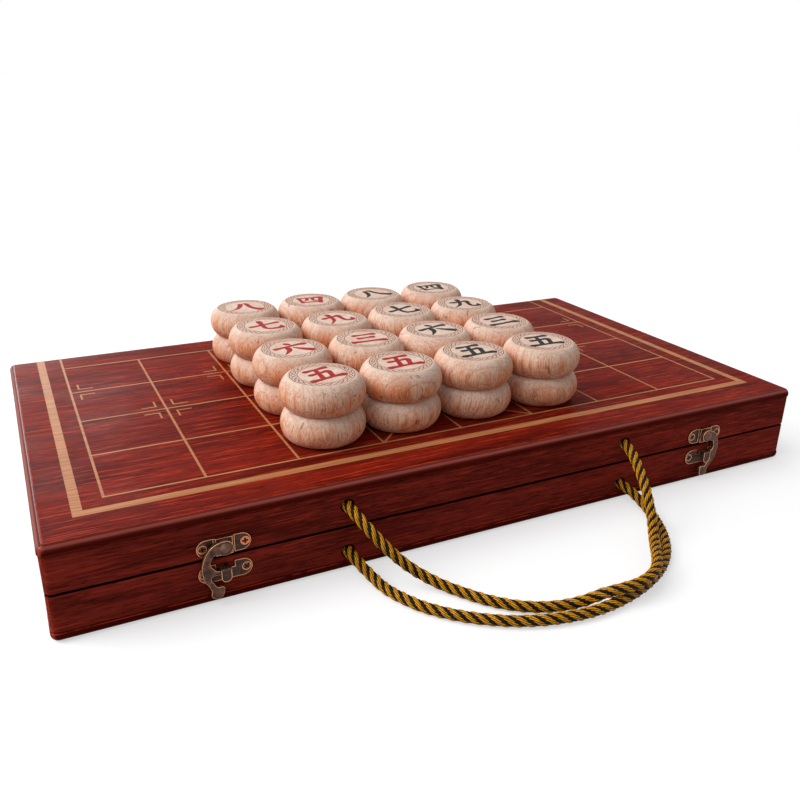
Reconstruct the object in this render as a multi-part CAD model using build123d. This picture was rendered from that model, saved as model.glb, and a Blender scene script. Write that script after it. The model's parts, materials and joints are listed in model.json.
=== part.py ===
from build123d import *
from math import pi, radians, tan
import os

os.makedirs("parts", exist_ok=True)

# A folding xiangqi box. Two shallow wooden trays are hinged along their back edges. Each tray carries
# half of the playing board on its outer face, so that the box unfolds into the whole board. It is closed
# with two swing-hook latches, carries one cord loop on each tray, and its 32 pieces stand on the lid.
#
# Millimetres. X runs along the front, Y from the front to the back, Z up. The origin is the middle of the
# underside of the closed box.

# ---- the case ----
case_length = 480.0          # X
case_depth = 270.0           # Y
case_height = 52.0           # both trays together
seam_gap = 0.8               # between the two trays when they are closed
panel_thickness = 5.0        # the board panel, glued on the rails
panel_corner_radius = 4.0
panel_edge_radius = 3.5
panel_overhang = 0.5         # how far the panel's edge stands out over the rails
rail_thickness = 9.0
seam_edge_radius = 0.6       # eased outer edge of the rails at the seam
underside_edge_radius = 0.4  # eased edge of the panel over the rails

# ---- the cord loops ----
cord_diameter = 6.2
cord_hole_radius = 4.0
cord_half_spacing = 93.0     # from the middle of a loop's two holes to each of them
fittings_shift = 3.0         # the holes' and the latches' middle lies this far right of the case's middle
lid_cord_hole_drop = 13.4    # from the top of the case
base_cord_hole_height = 11.0 # from its underside
knot_radius = 5.6            # the stopper knot behind each hole
knot_clearance = 0.3

# ---- the latches ----
latch_half_spacing = 159.5
latch_plate_length = 27.4
latch_plate_width = 9.6
latch_plate_thickness = 1.0
hook_plate_rise = 6.6        # of the upper plate's middle over the seam's middle
catch_plate_drop = 8.2       # of the lower plate's middle below it
latch_screw_spacing = 21.4
boss_rise = 1.0              # how far the hook plate's middle is pressed out, under the hook
boss_half_width = 4.2
boss_slope = 1.0             # run of the slopes beside it
rivet_radius = 1.5
rivet_head_radius = 2.95
rivet_head_height = 1.3
rivet_tail_radius = 2.3
rivet_tail_thickness = 0.6
right_hook_turn = 11.0       # degrees that the right hook hangs further in than the left one
hook_thickness = 1.9
hook_head_radius = 4.0
hook_gap = 0.3               # between the plate and the hook, and between the hook and the catch's tongue
running_clearance = 0.05     # radial, for rivets, pins and screw shanks
tongue_width = 5.3
tongue_offset = 0.6          # of the tongue from the plates' middle, towards the hook's arm
tongue_thickness = 1.0
tongue_bend_radius = 0.8
tongue_root = 0.5            # how far the tongue's leg reaches into its plate
tongue_neck_width = 4.2
tongue_top = -10.9           # heights of the tongue, from the rivet
tongue_bottom = -18.5
notch_width = 9.6            # in the catch plate's upper edge, around the tongue
notch_depth = 3.4

# ---- the hinges ----
hinge_half_spacing = 150.0
leaf_width = 38.0            # along the pin
leaf_height = 13.0
leaf_thickness = 0.9
leaf_recess = 0.4            # how deep the leaf is let into the rail
leaf_clearance = 0.1         # around the leaf in its recess
leaf_corner_radius = 1.5
knuckle_radius = 1.9
knuckle_gap = 0.3
hinge_pin_radius = 0.9
pocket_clearance = 0.5       # around the knuckles, in the rails
axis_outset = 0.4            # the hinge axis lies this far behind the panels' back edges
hinge_screw_inset = 7.5      # from the leaf's ends
hinge_screw_height = 8.0     # from the hinge axis

# ---- the screws ----
screw_head_radius = 2.0
screw_head_depth = 0.9
screw_shank_radius = 1.0
screw_length = 6.5
screw_hole_spare = 0.2       # below a latch screw's tip
screw_dome = 0.2             # how far a latch screw's raised head stands out
recess_length = 2.4          # the cross recess
recess_width = 0.45
recess_depth = 0.55

# ---- the pieces ----
piece_diameter = 50.0
piece_thickness = 19.0
piece_face_radius = 20.2     # of the flat faces; the side bulges from there to the full diameter
stack_gap_across = 0.9       # between neighbouring stacks along X
stack_gap_deep = 1.3         # and along Y
stacks_middle_x = -3.3       # middle of the sixteen stacks on the lid
stacks_middle_y = 5.0

past = 1.0                   # how far a cut reaches past the surface that it cuts through

# ---- places worked out from the sizes above ----
seam_height = case_height / 2
tray_height = (case_height - seam_gap) / 2
lid_bottom = seam_height + seam_gap / 2
rail_top = case_height - panel_thickness
rail_length = case_length - 2 * panel_overhang
rail_depth = case_depth - 2 * panel_overhang
front_face = -rail_depth / 2
back_face = rail_depth / 2
seam_plane = Plane.XY.offset(seam_height)
stack_base = case_height
lid_cord_hole_height = case_height - lid_cord_hole_drop

hinge_axis_y = case_depth / 2 + axis_outset
hinge_axis_z = seam_height
hinge_xs = [-hinge_half_spacing, hinge_half_spacing]
hook_plate_height = seam_height + hook_plate_rise
catch_plate_height = seam_height - catch_plate_drop
latch_xs = [fittings_shift - latch_half_spacing, fittings_shift + latch_half_spacing]
cord_hole_xs = [fittings_shift - cord_half_spacing, fittings_shift + cord_half_spacing]
plate_front = front_face - latch_plate_thickness
hook_back = plate_front - boss_rise - hook_gap
hook_front = hook_back - hook_thickness
tongue_back = hook_front - hook_gap
tongue_front = tongue_back - tongue_thickness


# A block given by its two opposite corners.
def block(x0, x1, y0, y1, z0, z1):
    size = (x1 - x0, y1 - y0, z1 - z0)
    middle = ((x0 + x1) / 2, (y0 + y1) / 2, (z0 + z1) / 2)
    return Pos(*middle) * Box(*size)


# A rod along X.
def rod_x(radius, x0, x1, y, z):
    return Pos((x0 + x1) / 2, y, z) * Rot(0, 90, 0) * Cylinder(radius, x1 - x0)


# A rod along Y.
def rod_y(radius, x, z, y0, y1):
    return Pos(x, (y0 + y1) / 2, z) * Rot(90, 0, 0) * Cylinder(radius, y1 - y0)


# ---- wood ----

# Half of the playing board, with a rounded edge. It is the top of the lid.
def lid_panel():
    panel = block(-case_length / 2, case_length / 2, -case_depth / 2, case_depth / 2, rail_top, case_height)
    panel = fillet(panel.edges().filter_by(Axis.Z), panel_corner_radius)
    panel = fillet(panel.faces().sort_by(Axis.Z)[-1].edges(), panel_edge_radius)
    return fillet(panel.faces().sort_by(Axis.Z)[0].edges(), underside_edge_radius)


# The lid's four rails as one ring, before it is mitred.
def lid_ring():
    outer = block(-rail_length / 2, rail_length / 2, front_face, back_face, lid_bottom, rail_top)
    outer = fillet(outer.edges().filter_by(Axis.Z), panel_corner_radius - panel_overhang)
    outer = fillet(outer.faces().sort_by(Axis.Z)[0].edges(), seam_edge_radius)
    t = rail_thickness
    return outer - block(-rail_length / 2 + t, rail_length / 2 - t, front_face + t, back_face - t,
                         lid_bottom - past, rail_top + past)


# The wedge that keeps one side of the ring, cut at 45 degrees at both ends.
def mitre(side):
    x, y = rail_length / 2, rail_depth / 2
    m = 1.5 * rail_thickness
    outlines = {
        "front": [(-x, -y), (x, -y), (x - m, -y + m), (-x + m, -y + m)],
        "back": [(-x, y), (x, y), (x - m, y - m), (-x + m, y - m)],
        "left": [(-x, -y), (-x + m, -y + m), (-x + m, y - m), (-x, y)],
        "right": [(x, -y), (x - m, -y + m), (x - m, y - m), (x, y)],
    }
    outline = make_face(Polyline(*outlines[side], close=True))
    return Pos(0, 0, lid_bottom - past) * extrude(outline, tray_height + 2 * past)


# What the hinges take out of a lid rail: the leaf's recess, the barrel's pocket and the screws' holes.
def hinge_room():
    room = []
    half = leaf_width / 2
    for x in hinge_xs:
        leaf_back = back_face - leaf_recess
        room.append(block(x - half - leaf_clearance, x + half + leaf_clearance, leaf_back,
                          back_face + past, seam_height, hinge_axis_z + leaf_height + leaf_clearance))
        room.append(rod_x(knuckle_radius + pocket_clearance, x - half - pocket_clearance,
                          x + half + pocket_clearance, hinge_axis_y, hinge_axis_z))
        for sx in hinge_screw_xs(x):
            room.append(rod_y(screw_shank_radius + running_clearance, sx,
                              hinge_axis_z + hinge_screw_height, leaf_back - screw_length, back_face))
    return room


# What a latch plate's screws and a cord take out of a front rail.
def front_room(plate_height, hole_height):
    room = []
    for x in latch_xs:
        for sx in latch_screw_xs(x):
            room.append(rod_y(screw_shank_radius + running_clearance, sx, plate_height,
                              front_face - past, front_face + screw_length + screw_hole_spare))
    for x in cord_hole_xs:
        room.append(rod_y(cord_hole_radius, x, hole_height, front_face - past,
                          front_face + rail_thickness + past))
    return room


def latch_screw_xs(x):
    return [x - latch_screw_spacing / 2, x + latch_screw_spacing / 2]


def hinge_screw_xs(x):
    return [x - leaf_width / 2 + hinge_screw_inset, x + leaf_width / 2 - hinge_screw_inset]


# ---- hinges ----

# One hinge's leaf on the lid, or the mirror image of the leaf on the base. own holds the numbers of its
# own knuckles among the three, and the leaf is cut away around the others.
def hinge_leaf(x, own):
    half = leaf_width / 2
    knuckle_length = (leaf_width - 2 * knuckle_gap) / 3
    leaf_back = back_face - leaf_recess
    leaf = block(x - half, x + half, leaf_back, leaf_back + leaf_thickness, hinge_axis_z,
                 hinge_axis_z + leaf_height)
    corners = leaf.edges().filter_by(Axis.Y).group_by(Axis.Z)[-1]
    leaf = fillet(corners, leaf_corner_radius)
    for i in range(3):
        start = x - half + i * (knuckle_length + knuckle_gap)
        if i not in own:
            leaf -= rod_x(knuckle_radius + knuckle_gap, start - knuckle_gap,
                          start + knuckle_length + knuckle_gap, hinge_axis_y, hinge_axis_z)
    for i in own:
        start = x - half + i * (knuckle_length + knuckle_gap)
        leaf += rod_x(knuckle_radius, start, start + knuckle_length, hinge_axis_y, hinge_axis_z)
    leaf -= rod_x(hinge_pin_radius + running_clearance, x - half - past, x + half + past,
                  hinge_axis_y, hinge_axis_z)
    for sx in hinge_screw_xs(x):
        head = Pos(sx, leaf_back + leaf_thickness, hinge_axis_z + hinge_screw_height) * Rot(-90, 0, 0)
        leaf -= head * screw_seat(leaf_thickness)
    return leaf


# ---- screws ----

# A countersunk wood screw along Z with its head's rim at z = 0, and dome above it.
def screw(dome):
    with BuildSketch(Plane.XZ) as profile:
        with BuildLine():
            tip = -screw_length
            if dome > 0:
                ThreePointArc((0, dome), (screw_head_radius * 0.55, dome * 0.72), (screw_head_radius, 0))
            else:
                Line((0, 0), (screw_head_radius, 0))
            Line((screw_head_radius, 0), (screw_shank_radius, -screw_head_depth))
            Line((screw_shank_radius, -screw_head_depth), (screw_shank_radius, tip + screw_shank_radius))
            Line((screw_shank_radius, tip + screw_shank_radius), (0, tip))
            Line((0, tip), (0, dome))
        make_face()
    body = revolve(profile.sketch, Axis.Z)
    for turn in (45, 135):
        slot = Pos(0, 0, dome) * Rot(0, 0, turn) * Box(recess_length, recess_width, 2 * recess_depth)
        body -= slot
    return body


# The countersunk hole for that screw in a plate of this thickness, mouth at z = 0.
def screw_seat(thickness):
    wide = screw_head_radius + running_clearance
    narrow = screw_shank_radius + running_clearance
    cone = Pos(0, 0, -screw_head_depth / 2) * Cone(narrow, wide, screw_head_depth)
    return cone + Cylinder(narrow, 3 * thickness)


def front_screws(height):
    placed = []
    for x in latch_xs:
        for sx in latch_screw_xs(x):
            placed.append(Pos(sx, plate_front, height) * Rot(90, 0, 0) * screw(screw_dome))
    return placed


def hinge_screws():
    surface = back_face - leaf_recess + leaf_thickness
    placed = []
    for x in hinge_xs:
        for sx in hinge_screw_xs(x):
            at = Pos(sx, surface, hinge_axis_z + hinge_screw_height)
            placed.append(at * Rot(-90, 0, 0) * screw(0))
    return placed


# ---- latches ----

# The latches are drawn as the left one, with its plates' middle at x = 0 and the hook's arm towards -X.

# A flat plate against the front rail, with its screw holes.
def latch_plate(height):
    outline = Plane.XZ * SlotOverall(latch_plate_length, latch_plate_width)
    plate = Pos(0, front_face, height) * extrude(outline, latch_plate_thickness)
    return plate - latch_screw_seats(height)


def latch_screw_seats(height):
    seats = []
    for sx in latch_screw_xs(0):
        seats.append(Pos(sx, plate_front, height) * Rot(90, 0, 0) * screw_seat(latch_plate_thickness))
    return seats


# The lid's plate. Its middle is pressed out as a bridge, which the hook turns on.
def hook_plate():
    t = latch_plate_thickness
    wide = boss_half_width + boss_slope
    inner = boss_half_width - t / 2
    foot = wide - t / 2
    bridge = [(-wide, -t), (-boss_half_width, -t - boss_rise), (boss_half_width, -t - boss_rise), (wide, -t),
              (foot, 0), (inner, -boss_rise), (-inner, -boss_rise), (-foot, 0)]
    bridge = [(x, front_face + y) for x, y in bridge]
    pressed = extrude(make_face(Polyline(*bridge, close=True)), latch_plate_width)
    pressed = Pos(0, 0, hook_plate_height - latch_plate_width / 2) * pressed
    plate = latch_plate(hook_plate_height)
    plate -= block(-foot, foot, plate_front - past, front_face + past,
                   hook_plate_height - latch_plate_width, hook_plate_height + latch_plate_width)
    hole = rod_y(rivet_radius + running_clearance, 0, hook_plate_height, hook_back, front_face + past)
    return plate + pressed - hole


# The rivet that the hook turns on, with its tail spread behind the bridge.
def hook_rivet():
    head_back = hook_front - hook_gap / 2
    tail_front = front_face - boss_rise + running_clearance
    shank = rod_y(rivet_radius, 0, hook_plate_height, head_back, tail_front)
    tail = rod_y(rivet_tail_radius, 0, hook_plate_height, tail_front, tail_front + rivet_tail_thickness)
    dome_radius = (rivet_head_radius**2 + rivet_head_height**2) / (2 * rivet_head_height)
    ball = Pos(0, head_back - rivet_head_height + dome_radius, hook_plate_height) * Sphere(dome_radius)
    head = ball & rod_y(rivet_head_radius, 0, hook_plate_height,
                        head_back - rivet_head_height - past, head_back)
    return shank + tail + head


# The swing hook: a head on the rivet, a curved arm, a spur that goes behind the catch's tongue and a
# thumb rest at the end of the arm. Its outline is drawn in X and Z about the rivet. turn is how many
# degrees it hangs further in.
def swing_hook(turn):
    neck = (-2.9, -2.75)
    with BuildSketch(Plane.XZ) as outline:
        with BuildLine():
            ThreePointArc(neck, (2.0, -3.46), (0.3, hook_head_radius - 0.01))
            Spline((0.3, hook_head_radius - 0.01), (-7.2, 1.5), (-11.2, -4.6), (-12.3, -11.0),
                   (-11.1, -17.2), (-8.3, -22.6), tangents=[(-1, -0.02), (0.35, -1)])
            Spline((-8.3, -22.6), (-8.7, -25.2), (-6.0, -27.9), (-2.7, -26.6), (-1.9, -23.6), (-2.9, -21.3),
                   tangents=[(0.35, -1), (-1, 0.9)])
            Spline((-2.9, -21.3), (-5.2, -21.3), (-7.2, -18.3), (-7.8, -15.0),
                   tangents=[(-1, -0.25), (0.25, 1)])
            Line((-7.8, -15.0), (-6.6, -14.35))
            Line((-6.6, -14.35), (-2.0, -14.5))
            ThreePointArc((-2.0, -14.5), (-1.15, -13.4), (-2.0, -12.35))
            Spline((-2.0, -12.35), (-4.6, -12.2), (-7.2, -9.6), (-8.0, -6.4), (-6.6, -3.8), neck,
                   tangents=[(-1, 0), (1, 0.12)])
        make_face()
    at = Pos(0, hook_back, hook_plate_height)
    hook = at * Rot(0, -turn, 0) * extrude(outline.sketch, hook_thickness)
    return hook - rod_y(rivet_radius + running_clearance, 0, hook_plate_height, hook_front - past,
                        hook_back + past)


# The catch: a plate on the base with a tongue that is bent out of its upper edge and down again, so that
# the hook's spur fits behind the tongue.
def catch():
    plate = latch_plate(catch_plate_height)
    top = catch_plate_height + latch_plate_width / 2
    plate -= block(-notch_width / 2, notch_width / 2, plate_front - past, front_face + past,
                   top - notch_depth, top + past)
    middle = -tongue_offset
    tongue_top_z = hook_plate_height + tongue_top
    tongue_bottom_z = hook_plate_height + tongue_bottom
    neck = tongue_neck_width / 2
    back_leg = block(middle - neck, middle + neck, plate_front, front_face,
                     top - notch_depth - tongue_root, tongue_top_z)
    bridge = block(middle - neck, middle + neck, tongue_front, front_face,
                   tongue_top_z - tongue_thickness, tongue_top_z)
    shield_radius = tongue_width / 2
    shield = block(middle - shield_radius, middle + shield_radius, tongue_front, tongue_back,
                   tongue_bottom_z + shield_radius, tongue_top_z)
    shield += rod_y(shield_radius, middle, tongue_bottom_z + shield_radius, tongue_front, tongue_back)
    bent = bridge + shield
    bend = bent.edges().filter_by(Axis.X).group_by(Axis.Y)[0].sort_by(Axis.Z)[-1:]
    bent = fillet(bend, tongue_bend_radius)
    return plate + back_leg + bent


# A latch's piece in its place. The right latch is the left one's mirror image.
def on_side(shape, side):
    if side == "left":
        return Pos(latch_xs[0], 0, 0) * shape
    return Pos(latch_xs[1], 0, 0) * mirror(shape, about=Plane.YZ)


# ---- cord loops ----

# The lid's cord leaves its left hole, falls to the table, lies along it, climbs over the other cord and
# returns to its right hole.
lid_cord_points = [
    (-90.2, -121.0, 38.5), (-90.0, -130.5, 38.6), (-89.1, -140.8, 37.4), (-86.0, -148.6, 33.1),
    (-80.7, -154.9, 25.8), (-74.4, -159.9, 18.2), (-67.2, -164.6, 11.5), (-59.8, -170.0, 6.6),
    (-53.0, -177.0, 3.9), (-46.6, -185.6, 3.4), (-40.2, -194.6, 3.4), (-30.5, -204.5, 3.4),
    (-18.5, -212.0, 3.4), (-6.0, -216.2, 3.7), (4.5, -218.9, 5.4), (13.0, -221.4, 8.8),
    (23.0, -224.0, 10.1), (36.0, -223.7, 10.0), (48.0, -219.4, 10.1), (56.5, -211.8, 9.9),
    (64.0, -202.6, 8.6), (70.6, -194.2, 7.6), (77.0, -186.0, 8.9), (82.5, -178.0, 12.8),
    (86.8, -169.5, 19.0), (89.8, -161.0, 25.4), (92.3, -152.5, 30.7), (94.4, -144.6, 35.0),
    (95.7, -137.3, 37.8), (96.0, -129.5, 38.6), (96.3, -121.0, 38.5),
]
# The base's cord lies on the table all the way, outside the lid's cord and under it where they cross.
base_cord_points = [
    (-90.2, -121.0, 11.2), (-90.0, -130.5, 11.0), (-89.3, -139.2, 10.0), (-86.8, -147.0, 7.1),
    (-84.1, -155.0, 4.4), (-82.0, -164.5, 3.4), (-77.9, -175.0, 3.4), (-71.4, -187.0, 3.4),
    (-61.0, -198.5, 3.4), (-48.0, -209.0, 3.4), (-33.0, -217.5, 3.4), (-16.5, -223.0, 3.4),
    (1.0, -225.8, 3.4), (17.0, -225.3, 3.4), (33.0, -222.4, 3.4), (48.0, -217.4, 3.4),
    (61.0, -211.0, 3.4), (72.0, -202.8, 3.4), (80.7, -193.4, 3.4), (88.0, -183.0, 3.4),
    (93.7, -172.0, 3.4), (97.8, -161.5, 3.7), (99.2, -152.5, 5.3), (98.4, -144.7, 8.3),
    (96.6, -137.6, 10.3), (96.0, -129.5, 11.0), (96.2, -121.0, 11.1),
]


# The radii of a cord's arcs, one for each corner: as large as the two runs beside it allow.
def cord_radii(points):
    runs = [Vector(*b) - Vector(*a) for a, b in zip(points, points[1:])]
    radii = []
    for before, after in zip(runs, runs[1:]):
        half_turn = before.get_angle(after) / 2
        shorter = min(before.length, after.length)
        radii.append(0.45 * shorter / tan(radians(half_turn)))
    return radii


# A cord as straight runs joined by arcs, with a stopper knot behind the rail at each end.
def cord(points, name):
    radii = cord_radii(points)
    path = FilletPolyline(*points, radius=radii)
    start = Plane(origin=points[0], z_dir=path % 0)
    tube = sweep(start * Circle(cord_diameter / 2), path=path)
    section = pi * cord_diameter**2 / 4
    smallest = min(radii)
    print(f"{name}: length {path.length:.1f}, smallest radius {smallest:.1f}, "
          f"volume {tube.volume:.0f} against {section * path.length:.0f}")
    print("  radii " + " ".join(f"{r:.0f}" for r in radii))
    knot_y = front_face + rail_thickness + knot_clearance + knot_radius
    for end in (points[0], points[-1]):
        tube += Pos(end[0], knot_y, end[2]) * Sphere(knot_radius)
    return tube


# ---- pieces ----

# A disc with flat faces and a bulging side, standing on z = 0.
def piece():
    waist = (piece_diameter / 2, piece_thickness / 2)
    with BuildSketch(Plane.XZ) as profile:
        with BuildLine():
            Line((0, 0), (piece_face_radius, 0))
            ThreePointArc((piece_face_radius, 0), waist, (piece_face_radius, piece_thickness))
            Line((piece_face_radius, piece_thickness), (0, piece_thickness))
            Line((0, piece_thickness), (0, 0))
        make_face()
    return revolve(profile.sketch, Axis.Z)


# The stacks stand in four rows of four on the lid, set down by hand, front row first. Each entry is the
# lower piece, the upper piece and how far the stack is off its place along X and Y.
stacks = [
    [("red_soldier", "red_soldier", 0.3, -1.2), ("red_soldier", "red_soldier", 0.0, 0.2),
     ("black_soldier", "black_soldier", -0.3, 0.4), ("black_soldier", "black_soldier", -0.2, -0.3)],
    [("red_cannon", "red_cannon", 0.3, -0.6), ("red_advisor", "red_advisor", 0.0, -0.5),
     ("black_cannon", "black_cannon", -0.3, -0.6), ("black_advisor", "black_advisor", -0.6, -1.2)],
    [("red_horse", "red_horse", -0.1, 1.6), ("red_soldier", "red_general", -0.5, -1.4),
     ("black_horse", "black_horse", 0.5, 0.4), ("black_soldier", "black_general", 0.0, -2.1)],
    [("red_chariot", "red_chariot", 0.3, 1.3), ("red_elephant", "red_elephant", 0.2, 0.0),
     ("black_chariot", "black_chariot", -0.1, 0.0), ("black_elephant", "black_elephant", 0.5, -1.3)],
]


def place_pieces():
    placed = {}
    counts = {}
    pitch_x = piece_diameter + stack_gap_across
    pitch_y = piece_diameter + stack_gap_deep
    for row, stacks_in_row in enumerate(stacks):
        for column, (lower, upper, nudge_x, nudge_y) in enumerate(stacks_in_row):
            x = stacks_middle_x + (column - 1.5) * pitch_x + nudge_x
            y = stacks_middle_y + (row - 1.5) * pitch_y + nudge_y
            for level, rank in enumerate((lower, upper)):
                counts[rank] = counts.get(rank, 0) + 1
                z = stack_base + level * piece_thickness
                placed[f"{rank}_{counts[rank]}"] = Pos(x, y, z) * piece()
    return placed


# ---- all the nodes ----

nodes = {}

nodes["lid_panel"] = lid_panel()
nodes["base_panel"] = mirror(nodes["lid_panel"], about=seam_plane)
ring = lid_ring()
for side in ("front", "back", "left", "right"):
    lid_rail = ring & mitre(side)
    if side == "back":
        for cut in hinge_room():
            lid_rail -= cut
    base_rail = mirror(lid_rail, about=seam_plane)
    if side == "front":
        for cut in front_room(hook_plate_height, lid_cord_hole_height):
            lid_rail -= cut
        for cut in front_room(catch_plate_height, base_cord_hole_height):
            base_rail -= cut
    nodes[f"lid_{side}_rail"] = lid_rail
    nodes[f"base_{side}_rail"] = base_rail

nodes["lid_hinge_leaves"] = Compound(children=[hinge_leaf(x, (0, 2)) for x in hinge_xs])
base_leaves = [mirror(hinge_leaf(x, (1,)), about=seam_plane) for x in hinge_xs]
nodes["base_hinge_leaves"] = Compound(children=base_leaves)
pins = [rod_x(hinge_pin_radius, x - leaf_width / 2, x + leaf_width / 2, hinge_axis_y, hinge_axis_z)
        for x in hinge_xs]
nodes["hinge_pins"] = Compound(children=pins)
nodes["lid_hinge_screws"] = Compound(children=hinge_screws())
base_screws = [mirror(s, about=seam_plane) for s in hinge_screws()]
nodes["base_hinge_screws"] = Compound(children=base_screws)

for side, turn in (("left", 0), ("right", right_hook_turn)):
    nodes[f"{side}_hook_plate"] = on_side(hook_plate(), side)
    nodes[f"{side}_hook"] = on_side(swing_hook(turn), side)
    nodes[f"{side}_catch"] = on_side(catch(), side)
nodes["hook_rivets"] = Compound(children=[on_side(hook_rivet(), side) for side in ("left", "right")])
nodes["lid_latch_screws"] = Compound(children=front_screws(hook_plate_height))
nodes["base_latch_screws"] = Compound(children=front_screws(catch_plate_height))

nodes["lid_cord"] = cord(lid_cord_points, "lid_cord")
nodes["base_cord"] = cord(base_cord_points, "base_cord")

nodes.update(place_pieces())

for name, shape in nodes.items():
    export_step(shape, f"parts/{name}.step")
print(len(nodes), "nodes")
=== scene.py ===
# %% [markdown]
# # A folding xiangqi box
#
# The box is two shallow wooden trays, hinged at the back. The outer face of each tray is half of a
# xiangqi board. Two bronze hooks keep it shut, two twisted cords serve as handles, and 32 beech pieces
# stand on the lid.
#
# The solid model comes in as a frame that never moves. Each cell below either gives one of its parts a
# finish or makes a finer piece that stands in for it. Lengths are in millimetres times `MM`, because
# Blender counts in metres.

import json
import random
from math import cos, pi, sin, sqrt

import bmesh
import bpy
from mathutils import Matrix, Vector
from mathutils.geometry import delaunay_2d_cdt

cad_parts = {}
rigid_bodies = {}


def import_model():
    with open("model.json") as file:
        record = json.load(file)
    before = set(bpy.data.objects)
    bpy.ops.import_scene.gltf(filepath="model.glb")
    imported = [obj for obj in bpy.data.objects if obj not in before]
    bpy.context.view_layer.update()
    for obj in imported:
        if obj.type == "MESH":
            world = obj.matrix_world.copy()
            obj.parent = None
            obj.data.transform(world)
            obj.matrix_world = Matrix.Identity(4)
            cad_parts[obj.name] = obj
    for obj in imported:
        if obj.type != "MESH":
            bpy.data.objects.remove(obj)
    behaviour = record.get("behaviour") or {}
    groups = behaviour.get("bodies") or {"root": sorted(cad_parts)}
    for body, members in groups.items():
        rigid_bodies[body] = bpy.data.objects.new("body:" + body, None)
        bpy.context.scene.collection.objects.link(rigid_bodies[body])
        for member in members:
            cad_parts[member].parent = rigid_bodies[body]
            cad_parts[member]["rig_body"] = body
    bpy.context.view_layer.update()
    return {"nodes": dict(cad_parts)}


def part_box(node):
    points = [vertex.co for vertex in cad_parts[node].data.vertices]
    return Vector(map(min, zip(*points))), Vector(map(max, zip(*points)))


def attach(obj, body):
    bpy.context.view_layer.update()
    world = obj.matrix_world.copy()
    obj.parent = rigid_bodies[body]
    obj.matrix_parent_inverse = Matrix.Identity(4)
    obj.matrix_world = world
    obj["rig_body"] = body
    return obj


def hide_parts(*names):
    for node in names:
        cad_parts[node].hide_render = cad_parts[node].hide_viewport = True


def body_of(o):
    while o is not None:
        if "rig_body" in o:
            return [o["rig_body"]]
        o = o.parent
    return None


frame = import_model()
MM = 0.001
NODES = frame["nodes"]

# %% [markdown]
# ## The camera
#
# The eye is a little above the box and left of its middle, quite near, so that the left end looks large
# and the right end small. The three rows are the directions that are right, down and forward in the
# picture, which fix how the camera is turned without any angles.

# %% Camera
EYE = Vector((-233.47, -482.98, 250.20)) * MM
RIGHT = Vector((0.89758, -0.44065, 0.01302))
DOWN = Vector((-0.15375, -0.34060, -0.92755))
FORWARD = Vector((0.41316, 0.83055, -0.37346))
SENSOR_WIDTH = 36.0
LENS = 36.63

camera_data = bpy.data.cameras.new("camera")
camera_data.sensor_width = SENSOR_WIDTH
camera_data.lens = LENS
camera = bpy.data.objects.new("camera", camera_data)
turned = Matrix((RIGHT, -DOWN, -FORWARD)).transposed()
camera.matrix_world = Matrix.Translation(EYE) @ turned.to_4x4()
bpy.context.scene.collection.objects.link(camera)
bpy.context.scene.camera = camera
print("camera at", [round(v, 3) for v in EYE])

# %% [markdown]
# ## Small helpers for node trees
#
# A material and a geometry tree are both graphs of nodes. `add` makes a node, sets its properties, and
# joins or fills its inputs in one line, which keeps each recipe below readable. `math` makes a sum,
# `steps` turns a value smoothly from one level to another, `blend` mixes two colours and `noise` gives a
# pattern of a known size.


# %% Node helpers
def add(tree, kind, inputs=None, **settings):
    node = tree.nodes.new(kind)
    for name, value in settings.items():
        setattr(node, name, value)
    for name, value in (inputs or {}).items():
        if isinstance(value, bpy.types.NodeSocket):
            tree.links.new(value, node.inputs[name])
        else:
            node.inputs[name].default_value = value
    return node


def math(tree, operation, a, b=0.0):
    return add(tree, "ShaderNodeMath", {0: a, 1: b}, operation=operation).outputs[0]


def blend(tree, share, a, b):
    """Colour a where share is 0 and colour b where it is 1."""
    return add(tree, "ShaderNodeMix", {0: share, 6: a, 7: b}, data_type="RGBA").outputs[2]


def steps(tree, value, low, high, to_low=0.0, to_high=1.0):
    """A smooth rise from to_low to to_high while the value goes from low to high."""
    node = add(tree, "ShaderNodeMapRange", {0: value, 1: low, 2: high, 3: to_low, 4: to_high},
               interpolation_type="SMOOTHSTEP")
    return node.outputs[0]


def noise(tree, place, stretch, seed, detail, roughness=0.55, distortion=0.0):
    """Noise whose features are about stretch millimetres long on each axis."""
    scale = Vector([1 / (s * MM) for s in stretch])
    start = seed if isinstance(seed, bpy.types.NodeSocket) else (seed, seed, seed)
    moved = add(tree, "ShaderNodeMapping", {"Vector": place, "Scale": scale, "Location": start})
    node = add(tree, "ShaderNodeTexNoise", {"Vector": moved.outputs[0], "Scale": 1.0, "Detail": detail,
                                            "Roughness": roughness, "Distortion": distortion})
    return node.outputs[0]


def srgb(r, g, b):
    """A colour given as it looks on a screen, 0 to 255, as the linear numbers that a shader wants."""
    linear = [c / 255 / 12.92 if c <= 10 else ((c / 255 + 0.055) / 1.055) ** 2.4 for c in (r, g, b)]
    return (*linear, 1.0)


print("node helpers ready")

# %% [markdown]
# ## Small helpers for groups, materials and pieces
#
# `new_group` starts a reusable group with named inputs and outputs, and `new_material` a material whose
# patterns read Object coordinates. `wear` sets or joins several sockets at once. `finish_node` gives a
# part of the solid model its finish, and `new_piece` hands a finer mesh over to the frame: which body it
# rides on, what kind of surface it has, and which part it stands in for.


# %% Material and piece helpers
def new_group(name, inputs, outputs, kind="ShaderNodeTree"):
    group = bpy.data.node_groups.new(name, kind)
    for label, socket in inputs.items():
        group.interface.new_socket(label, in_out="INPUT", socket_type="NodeSocket" + socket)
    for label, socket in outputs.items():
        group.interface.new_socket(label, in_out="OUTPUT", socket_type="NodeSocket" + socket)
    return group, group.nodes.new("NodeGroupInput").outputs, group.nodes.new("NodeGroupOutput").inputs


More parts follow.
